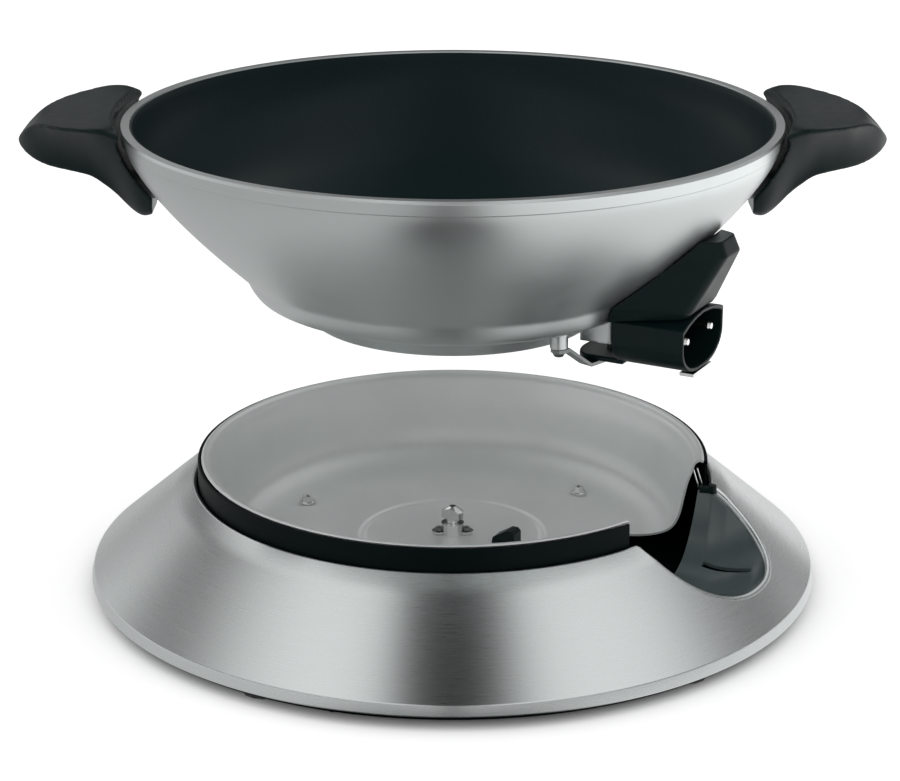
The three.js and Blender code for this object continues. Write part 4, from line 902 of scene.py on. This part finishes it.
def make_collar():
    inner = COLLAR_RADIUS - COLLAR_WALL
    top = COLLAR_TOP + COLLAR_RISE
    outline = rounded([
        (inner, COLLAR_BOTTOM, 0),
        (COLLAR_RADIUS, COLLAR_BOTTOM, 0),
        (COLLAR_RADIUS, top, COLLAR_OUTER_ROUND),
        (inner, top, COLLAR_INNER_ROUND),
    ])
    collar = revolved("collar_ring", outline)
    plan = notch_outline(COLLAR_NOTCH_MARGIN)
    combine(collar, prism("notch", plan, COLLAR_BOTTOM - COLLAR_WALL, REFLECTOR_RIM + HEM_WIDTH))
    # The collar takes the darker copy of the black plastic: a real black ring, with painted shade for the
    # gap under the reflector rim
    dress(shade(collar), MATERIALS["shaded_black_plastic"], "base", "black_plastic", "inner_collar")


def box_solid(low, high, turned):
    """A box between two corners, turned to its place."""
    xs, ys, zs = zip(low, high)
    ring = [(xs[0], ys[0]), (xs[1], ys[0]), (xs[1], ys[1]), (xs[0], ys[1])]
    return lofted("box", [[turned(x, y, z) for x, y in ring] for z in zs])


def rod(radius, start, end, turned):
    """A round rod along the bay, or along X, from its start to a place further along."""
    section = circle(start[1], start[2], radius, ROD_STEPS)
    return lofted("rod", [[turned(x, y, z) for y, z in section] for x in (start[0], end)])


def handle_ring(station, width, top, droop, bottom, keel_share, power):
    """One cross section of a handle, from the shares that hold there."""
    x = HANDLE_ROOT + (HANDLE_TIP - HANDLE_ROOT) * station
    half = HANDLE_HALF_WIDTH * width
    crown = HANDLE_RISE * top
    floor = -HANDLE_DROP * bottom
    keel = HANDLE_HALF_WIDTH * keel_share
    fall = HANDLE_RISE * droop
    dish = HANDLE_DISH * width
    edge = HANDLE_EDGE * width
    ring = []
    for i in range(HANDLE_TOP_STEPS + 1):
        across = 1 - 2 * i / HANDLE_TOP_STEPS
        height = crown - dish * (1 - across ** 2) - fall * across ** HANDLE_DROOP_POWER
        ring.append((x, (half - edge) * across, height))
    corner = crown - fall - edge

    def side(sign, share):
        reach = keel + (half - keel) * (1 - share) ** power
        return x, sign * reach, corner + (floor - corner + dish) * share

    for i in range(HANDLE_SIDE_STEPS + 1):
        ring.append(side(-1, i / HANDLE_SIDE_STEPS))
    for i in range(1, HANDLE_KEEL_STEPS):
        across = -1 + 2 * i / HANDLE_KEEL_STEPS
        ring.append((x, keel * across, floor + dish * across ** 2))
    for i in range(HANDLE_SIDE_STEPS, -1, -1):
        ring.append(side(1, i / HANDLE_SIDE_STEPS))
    return ring


def make_handle(name, turn, replaced):
    """Moulded wing with a hollow for its bracket and bores for two screws."""
    def turned(x, y, z):
        return x * turn, y * turn, z + RIM_PLANE

    tables = (HANDLE_STATIONS, HANDLE_WIDTHS, HANDLE_TOPS, HANDLE_DROOPS, HANDLE_BOTTOMS,
              HANDLE_KEELS, HANDLE_SIDE_POWERS)
    stations = spline(list(zip(*tables)))
    rings = [[turned(*point) for point in handle_ring(*shares)] for shares in stations]
    handle = soften(lofted(name, rings), "handle_blank")
    outline = bowl_outer(HANDLE_GAP)
    above = HANDLE_RISE * 2
    space = [(0, -BOWL_HEIGHT)] + outline + [(RIM_RADIUS + HANDLE_GAP, above), (0, above)]
    combine(handle, revolved("space", lifted(space)))
    tail = [
        (0, -BOWL_HEIGHT), (HANDLE_TAIL_INNER, -BOWL_HEIGHT),
        (HANDLE_TAIL_INNER, -RIM_BAND), (0, -RIM_BAND),
    ]
    combine(handle, revolved("tail", lifted(tail)))
    half = BRACKET_HALF_WIDTH + BRACKET_FIT
    arm_low = (HANDLE_ROOT, -half, -BRACKET_ARM_BOTTOM - BRACKET_FIT)
    tab_low = (BRACKET_INNER - BRACKET_FIT, -half, -BRACKET_BOTTOM - BRACKET_FIT)
    high = (BRACKET_REACH + BRACKET_FIT, half, -BRACKET_TOP + BRACKET_FIT)
    combine(handle, box_solid(arm_low, high, turned))
    combine(handle, box_solid(tab_low, high, turned))
    soften(handle, "handle")
    for y in HANDLE_SCREW_ROWS:
        start = (HANDLE_SCREW_SEAT, y, -HANDLE_SCREW_DEPTH)
        combine(handle, rod(HANDLE_SCREW_HEAD / 2, start, HANDLE_TIP, turned))
    dress(shade(handle, MOULDED_SHARP_ANGLE), MATERIALS["black_plastic"], "bowl", "black_plastic",
          replaced)


def bay_lifted(along, across, height=0.0):
    """A point of the bowl in the frame of the bay, its height counted from the rim plane."""
    x, y, z = in_bay(along, across, height)
    return x, y, z + RIM_PLANE


def guard_body(inset):
    """Body of the guard, or the hollow in it when moved in by its wall."""
    tables = (GUARD_RISE_SHARES, GUARD_LEAN_SHARES, GUARD_ROOT_SHARES, GUARD_FACE_SHARES)
    levels = list(zip(*tables))
    rows = []
    for first, second in zip(levels[:-1], levels[1:]):
        for i in range(GUARD_STEPS):
            rows.append([a + (b - a) * i / GUARD_STEPS for a, b in zip(first, second)])
    rows.append(levels[-1])
    rings = []
    for number, (rise, lean, root_share, face_share) in enumerate(rows):
        lowered = GUARD_GAP if inset and number == 0 else inset * (number == len(rows) - 1)
        height = GUARD_HEIGHT * rise - SOCKET_TOP - lowered
        centre = GUARD_REACH + GUARD_LEAN * lean - GUARD_ROUND
        half = GUARD_FACE_HALF * face_share
        root = GUARD_ROOT_HALF * root_share - inset
        inner = GUARD_INNER - (GUARD_GAP if inset else 0)
        corner = GUARD_ROUND - inset
        taper = math.atan2(root - half, centre - inner)
        ring = [(inner, -root)]
        for sign in (-1, 1):
            for i in range(ARC_STEPS * 2 + 1):
                share = i / (ARC_STEPS * 2)
                angle = (math.pi / 2 - taper) * (share - 1 if sign < 0 else share)
                ring.append((centre + corner * math.cos(angle), sign * half + corner * math.sin(angle)))
        ring.append((inner, root))
        rings.append([bay_lifted(x, y, height) for x, y in ring])
    return lofted("guard", rings)


def socket_outline(inset=0.0):
    """Outline of the socket across the bay: arched roof, straight top corners, bowed below."""
    half = SOCKET_HALF_WIDTH - inset
    corner = -SOCKET_TOP - inset
    side_end = -SOCKET_TOP - SOCKET_SIDE
    bottom_rise = SOCKET_DEPTH - SOCKET_SIDE - inset
    points = []
    for i in range(SOCKET_STEPS + 1):
        across = 1 - 2 * i / SOCKET_STEPS
        points.append((half * across, corner + SOCKET_ARCH * (1 - across ** 2)))
    for i in range(SOCKET_STEPS + 1):
        angle = math.pi + math.pi * i / SOCKET_STEPS
        across = math.copysign(abs(math.cos(angle)) ** SOCKET_BOTTOM_POWER, math.cos(angle))
        points.append((half * across, side_end + bottom_rise * math.sin(angle)))
    return points


def along_bay(outline, inner, outer):
    """An outline across the bay made solid along it."""
    return lofted("run", [[bay_lifted(along, y, z) for y, z in outline] for along in (inner, outer)])


def make_guard():
    guard = guard_body(0)
    combine(guard, guard_body(GUARD_WALL))
    combine(guard, along_bay(socket_outline(-GUARD_GAP), GUARD_INNER - GUARD_WALL, HANDLE_TIP))
    pad_half = PAD_HALF_WIDTH + GUARD_GAP
    combine(guard, box_solid((GUARD_INNER - GUARD_WALL, -pad_half, -PAD_DEPTH),
                             (PAD_OUTER + GUARD_GAP, pad_half, -BULGE_DEPTH), bay_lifted))
    combine(guard, bowl_space(GUARD_GAP))
    guard.name = "guard_shroud"
    soften(guard, "guard")
    dress(shade(guard, MOULDED_SHARP_ANGLE), MATERIALS["black_plastic"], "bowl", "black_plastic",
          "heat_guard")


def make_socket():
    """Socket tube with its tongue, hollow towards the mouth."""
    bottom = -SOCKET_TOP - SOCKET_DEPTH
    socket = along_bay(socket_outline(), SOCKET_INNER, SOCKET_OUTER)
    nose = []
    for i in range(SOCKET_STEPS + 1):
        angle = math.pi / 2 + math.pi * i / SOCKET_STEPS
        nose.append((TONGUE_INNER + TONGUE_HEIGHT * (1 + math.cos(angle)),
                     TONGUE_HALF_WIDTH * math.sin(angle)))
    root = SOCKET_INNER + SOCKET_WALL
    nose += [(root, -TONGUE_HALF_WIDTH), (root, TONGUE_HALF_WIDTH)]
    tongue = lofted("tongue", [[bay_lifted(x, y, z) for x, y in nose]
                               for z in (bottom, bottom + TONGUE_THICKNESS)])
    combine(socket, tongue, "UNION")
    web = box_solid((PAD_OUTER + GUARD_GAP / 2, -TONGUE_HALF_WIDTH, bottom),
                    (root, TONGUE_HALF_WIDTH, bottom + TONGUE_HEIGHT), bay_lifted)
    combine(socket, web, "UNION")
    combine(socket, along_bay(socket_outline(SOCKET_WALL), root, HANDLE_TIP))
    for sign in (-1, 1):
        start = (TONGUE_INNER, sign * TERMINAL_SPACING / 2, -TERMINAL_DEPTH)
        combine(socket, rod(ELEMENT_BORE / 2, start, SOCKET_OUTER, bay_lifted))
    combine(socket, bowl_space(GUARD_GAP))
    socket.name = "socket_tube"
    soften(socket, "socket")
    dress(shade(socket, MOULDED_SHARP_ANGLE), MATERIALS["black_plastic"], "bowl", "black_plastic",
          "probe_socket")


def make_pad():
    """Cast pad that the element ends leave through, and the lug beside it."""
    plan = rounded([(PAD_INNER, -PAD_HALF_WIDTH, 0), (PAD_OUTER, -PAD_HALF_WIDTH, PAD_CORNER),
                    (PAD_OUTER, PAD_HALF_WIDTH, PAD_CORNER), (PAD_INNER, PAD_HALF_WIDTH, 0)])
    pad = lofted("bowl_pad", [[bay_lifted(x, y, z) for x, y in plan]
                              for z in (-PAD_DEPTH, -PAD_ROOT_DEPTH)])
    for sign in (-1, 1):
        start = (PAD_OUTER - PAD_CORNER, sign * TERMINAL_SPACING / 2, -TERMINAL_DEPTH)
        combine(pad, rod(ELEMENT_BORE / 2, start, SOCKET_OUTER, bay_lifted))
    soften(pad, "pad")
    dress(shade(pad, MOULDED_SHARP_ANGLE), MATERIALS["cast_aluminium"], "bowl", "cast_aluminium",
          "wok_bowl")
    rings = []
    for rise, share in LUG_FLARE:
        section = circle(*LUG_PLACE, LUG_RADIUS * share, SOCKET_STEPS)
        rings.append([bay_lifted(x, y, rise - LUG_DEPTH) for x, y in section])
    lug = lofted("bowl_lug", rings)
    dress(shade(lug), MATERIALS["cast_aluminium"], "bowl", "cast_aluminium", "wok_bowl")


def scoop_height(along, across):
    """Height of the scoop over a point of the bay: flat, then up to the skirt at the cut edge."""
    u = max(along - CUT_START, 0) / (CUT_TIP - CUT_START)
    v = abs(across) / CUT_HALF_WIDTH
    reach = (u ** CUT_POWER + v ** CUT_POWER) ** (1 / CUT_POWER)
    rim = skirt_height(math.hypot(along, across)) - TRAY_DROP
    return TRAY_FLOOR + (rim - TRAY_FLOOR) * min(reach, 1) ** TRAY_POWER


def skirt_height(radius):
    """Height of the skirt's outer face at a distance from the axis."""
    crease_radius = SKIRT_RADIUS - SKIRT_EDGE_DRAFT
    share = (radius - SKIRT_SHOULDER_RADIUS) / (crease_radius - SKIRT_SHOULDER_RADIUS)
    if share >= 0:
        return SKIRT_SHOULDER + (SKIRT_CREASE - SKIRT_SHOULDER) * share
    share = (radius - SKIRT_TOP_RADIUS) / (SKIRT_SHOULDER_RADIUS - SKIRT_TOP_RADIUS)
    return SKIRT_TOP + (SKIRT_SHOULDER - SKIRT_TOP) * max(share, 0)


def make_tray():
    """Scooped tray of the bay with the slot in its floor, its edge up under the skirt's."""
    tip = CUT_TIP + TRAY_MARGIN
    rings = []
    for i in range(TRAY_STEPS + 1):
        along = TRAY_INNER + (tip - TRAY_INNER) * math.sin(math.pi / 2 * i / TRAY_STEPS)
        share = max(along - CUT_START, 0) / (tip - CUT_START)
        left = max(1 - share ** CUT_POWER, TRAY_TIP_SHARE)
        half = (CUT_HALF_WIDTH + TRAY_MARGIN) * left ** (1 / CUT_POWER)
        upper = []
        for j in range(TRAY_STEPS + 1):
            across = half * math.sin(math.pi / 2 * (2 * j / TRAY_STEPS - 1))
            upper.append((along, across, min(scoop_height(along, across), TRAY_TOP)))
        lower = [(x, y, z - TRAY_THICKNESS) for x, y, z in reversed(upper)]
        rings.append([in_bay(*point) for point in upper + lower])
    tray = lofted("tray_scoop", rings)
    combine(tray, prism("slot", bar_plan(TRAY_SLOT_ENDS, TRAY_SLOT_WIDTH), PAN_TOP, SKIRT_TOP))
    dress(shade(tray, TRAY_SHARP_ANGLE), MATERIALS["tray_black"], "base", "tray_black", "probe_tray")


def make_trim():
    """Bright flange where the skirt's edge turns down into the bay."""
    line = []
    for along, across in superellipse():
        radius = math.hypot(along, across)
        if radius > SKIRT_LIP_RADIUS:
            line.append(Vector(in_bay(along, across, skirt_height(radius))))
    rings = []
    for i, point in enumerate(line):
        ahead = line[min(i + 1, len(line) - 1)] - line[max(i - 1, 0)]
        outward = Vector((ahead.y, -ahead.x, 0)).normalized()
        ring = []
        for out, down in FLANGE_SECTION:
            place = point + outward * out
            place.z = skirt_height(place.xy.length) - down
            ring.append(tuple(place))
        rings.append(ring)
    trim = lofted("bay_flange", rings)
    dress(shade(trim, FLANGE_SHARP_ANGLE), MATERIALS["brushed_skirt"], "base", "brushed_skirt")


def make_bay_details():
    """Hook over the tray, two bright strips beside it, and a dark plate under the notch as painted shade."""
    low, high = HOOK_HEIGHTS
    hook = prism("bay_hook", bar_plan(HOOK_ENDS, HOOK_WIDTH), low, high)
    knob = [in_bay(*point)[:2] for point in circle(*HOOK_ENDS[1], HOOK_KNOB, SOCKET_STEPS)]
    combine(hook, prism("knob", knob, low, high + SKIRT_WALL), "UNION")
    soften(hook, "hook")
    dress(shade(hook, MOULDED_SHARP_ANGLE), MATERIALS["black_plastic"], "base", "black_plastic")
    for number, (along, across) in enumerate(STRIP_FEET, 1):
        rings = []
        for height, lean in zip(STRIP_HEIGHTS, (0, STRIP_LEAN)):
            section = circle(along - lean, across - lean / 2, STRIP_RADIUS, SOCKET_STEPS)
            rings.append([in_bay(*point, height) for point in section])
        strip = lofted("bay_strip_" + str(number), rings)
        dress(shade(strip), MATERIALS["bright_steel"], "base", "bright_steel")
    # The dark plate under the notch is painted shade: it hides the bright floor that the vents would show
    # where only shade falls
    shade_plate = prism("bay_shade_plate", notch_outline(SHADE_PLATE_MARGIN),
                   PAN_TOP - SHADE_PLATE_THICKNESS, PAN_TOP + SHADE_PLATE_THICKNESS)
    dress(shade(shade_plate), MATERIALS["shaded_black_plastic"], "base", "black_plastic")


def make_pan_edge():
    """Edge of the pan that shows under the skirt, in the darker copy of the black plastic: a real edge,
    darkened further as painted shade under the hem.
    """
    inner, outer = PAN_EDGE_RADII
    low = SKIRT_BOTTOM - PAN_EDGE_DROP
    high = SKIRT_BOTTOM + SKIRT_WALL / 2
    outline = rounded([(inner, low, 0), (outer, low, PAN_EDGE_ROUND), (outer, high, 0), (inner, high, 0)])
    edge = revolved("pan_edge", outline)
    dress(shade(edge), MATERIALS["shaded_black_plastic"], "base", "black_plastic")


def dress_cad_nodes():
    """Carried-over nodes take the material of their slot and softened edges."""
    slots = {part["node"]: part["material_slot"] for part in frame["record"]["subparts"]}
    for name, obj in frame["nodes"].items():
        obj.data.materials.clear()
        obj.data.materials.append(MATERIALS[slots[name]])
        shade(obj)
        if name in BEVELS:
            bevelled(obj, BEVELS[name])


def make_camera():
    data = bpy.data.cameras.new("camera")
    data.lens = CAMERA_LENS
    data.sensor_width = CAMERA_SENSOR
    camera = bpy.data.objects.new("camera", data)
    camera.location = Vector(CAMERA_PLACE) * MM
    camera.rotation_euler = (math.radians(90 - CAMERA_PITCH), 0, 0)
    bpy.context.scene.collection.objects.link(camera)
    bpy.context.scene.camera = camera


def ramp(nodes, stops):
    """A colour ramp of grey stops, places from 0 to 1."""
    node = nodes.new("ShaderNodeValToRGB")
    node.color_ramp.interpolation = "EASE"
    elements = node.color_ramp.elements
    while len(elements) < len(stops):
        elements.new(0.5)
    for element, (place, level) in zip(elements, stops):
        element.position = place
        element.color = (level, level, level, 1)
    return node


def camera_or(nodes, links, seen, other):
    """Mixes two shaders: one for what the camera sees, one for everything else."""
    path = nodes.new("ShaderNodeLightPath")
    mix = nodes.new("ShaderNodeMixShader")
    links.new(path.outputs["Is Camera Ray"], mix.inputs[0])
    links.new(other, mix.inputs[1])
    links.new(seen, mix.inputs[2])
    return mix.outputs[0]


def make_world():
    """A bright room with darker strips overhead, which the brushed skirt mirrors."""
    world = bpy.data.worlds.new("studio")
    bpy.context.scene.world = world
    world.use_nodes = True
    nodes = world.node_tree.nodes
    links = world.node_tree.links
    nodes.clear()
    coordinates = nodes.new("ShaderNodeTexCoord")
    split = nodes.new("ShaderNodeSeparateXYZ")
    links.new(coordinates.outputs["Generated"], split.inputs[0])
    angle = nodes.new("ShaderNodeMath")
    angle.operation = "ARCTAN2"
    links.new(split.outputs["X"], angle.inputs[0])
    links.new(split.outputs["Z"], angle.inputs[1])
    share = nodes.new("ShaderNodeMapRange")
    share.inputs["From Min"].default_value = -math.pi / 2
    share.inputs["From Max"].default_value = math.pi / 2
    links.new(angle.outputs[0], share.inputs["Value"])
    strips = ramp(nodes, WORLD_STRIPS)
    links.new(share.outputs["Result"], strips.inputs[0])
    behind = ramp(nodes, WORLD_BEHIND)
    links.new(split.outputs["Y"], behind.inputs[0])
    room = nodes.new("ShaderNodeBackground")
    links.new(strips.outputs[0], room.inputs["Color"])
    links.new(behind.outputs[0], room.inputs["Strength"])
    white = nodes.new("ShaderNodeBackground")
    white.inputs["Color"].default_value = (1, 1, 1, 1)
    output = nodes.new("ShaderNodeOutputWorld")
    links.new(camera_or(nodes, links, white.outputs[0], room.outputs[0]), output.inputs[0])


def floor_material():
    """White floor: bright to the camera, and striped where metal mirrors it.

    The lift fades close to what stands on the floor, which helps the contact shadow.
    """
    material = bpy.data.materials.new("floor")
    material.use_nodes = True
    nodes = material.node_tree.nodes
    links = material.node_tree.links
    nodes.clear()
    diffuse = nodes.new("ShaderNodeBsdfDiffuse")
    diffuse.inputs["Color"].default_value = (FLOOR_GREY, FLOOR_GREY, FLOOR_GREY, 1)
    near = nodes.new("ShaderNodeAmbientOcclusion")
    near.samples = CONTACT_SAMPLES
    near.inputs["Distance"].default_value = CONTACT_REACH * MM
    lift = nodes.new("ShaderNodeEmission")
    lift.inputs["Strength"].default_value = FLOOR_LIFT
    links.new(near.outputs["Color"], lift.inputs["Color"])
    seen = nodes.new("ShaderNodeAddShader")
    links.new(diffuse.outputs[0], seen.inputs[0])
    links.new(lift.outputs[0], seen.inputs[1])
    coordinates = nodes.new("ShaderNodeTexCoord")
    split = nodes.new("ShaderNodeSeparateXYZ")
    links.new(coordinates.outputs["Object"], split.inputs[0])
    share = nodes.new("ShaderNodeMapRange")
    share.inputs["From Min"].default_value = -FLOOR_STRIPS_REACH * MM
    share.inputs["From Max"].default_value = FLOOR_STRIPS_REACH * MM
    links.new(split.outputs["X"], share.inputs["Value"])
    strips = ramp(nodes, FLOOR_STRIPS)
    links.new(share.outputs["Result"], strips.inputs[0])
    mirrored = nodes.new("ShaderNodeEmission")
    links.new(strips.outputs[0], mirrored.inputs["Color"])
    path = nodes.new("ShaderNodeLightPath")
    glossy = nodes.new("ShaderNodeMixShader")
    links.new(path.outputs["Is Glossy Ray"], glossy.inputs[0])
    links.new(diffuse.outputs[0], glossy.inputs[1])
    links.new(mirrored.outputs[0], glossy.inputs[2])
    output = nodes.new("ShaderNodeOutputMaterial")
    links.new(camera_or(nodes, links, seen.outputs[0], glossy.outputs[0]), output.inputs[0])
    return material


def make_floor():
    far = FLOOR_REACH
    points = [(-far, -far, 0), (far, -far, 0), (far, far, 0), (-far, far, 0)]
    floor = mesh_object("floor", points, [list(range(len(points)))])
    floor.data.materials.append(floor_material())
    floor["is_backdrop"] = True


make_camera()
make_world()
make_floor()
dress_cad_nodes()
make_bowl()
make_lining()
make_skirt()
make_reflector()
make_collar()
make_pad()
make_handle("handle_wing_right", 1, "handle_right")
make_handle("handle_wing_left", -1, "handle_left")
make_guard()
make_socket()
make_tray()
make_trim()
make_bay_details()
make_pan_edge()

bpy.context.scene.view_settings.view_transform = "Standard"


def corners(box):
    return [list(box[0]), list(box[1])]


{"cad": corners(cad_box), "visual": corners(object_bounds())}
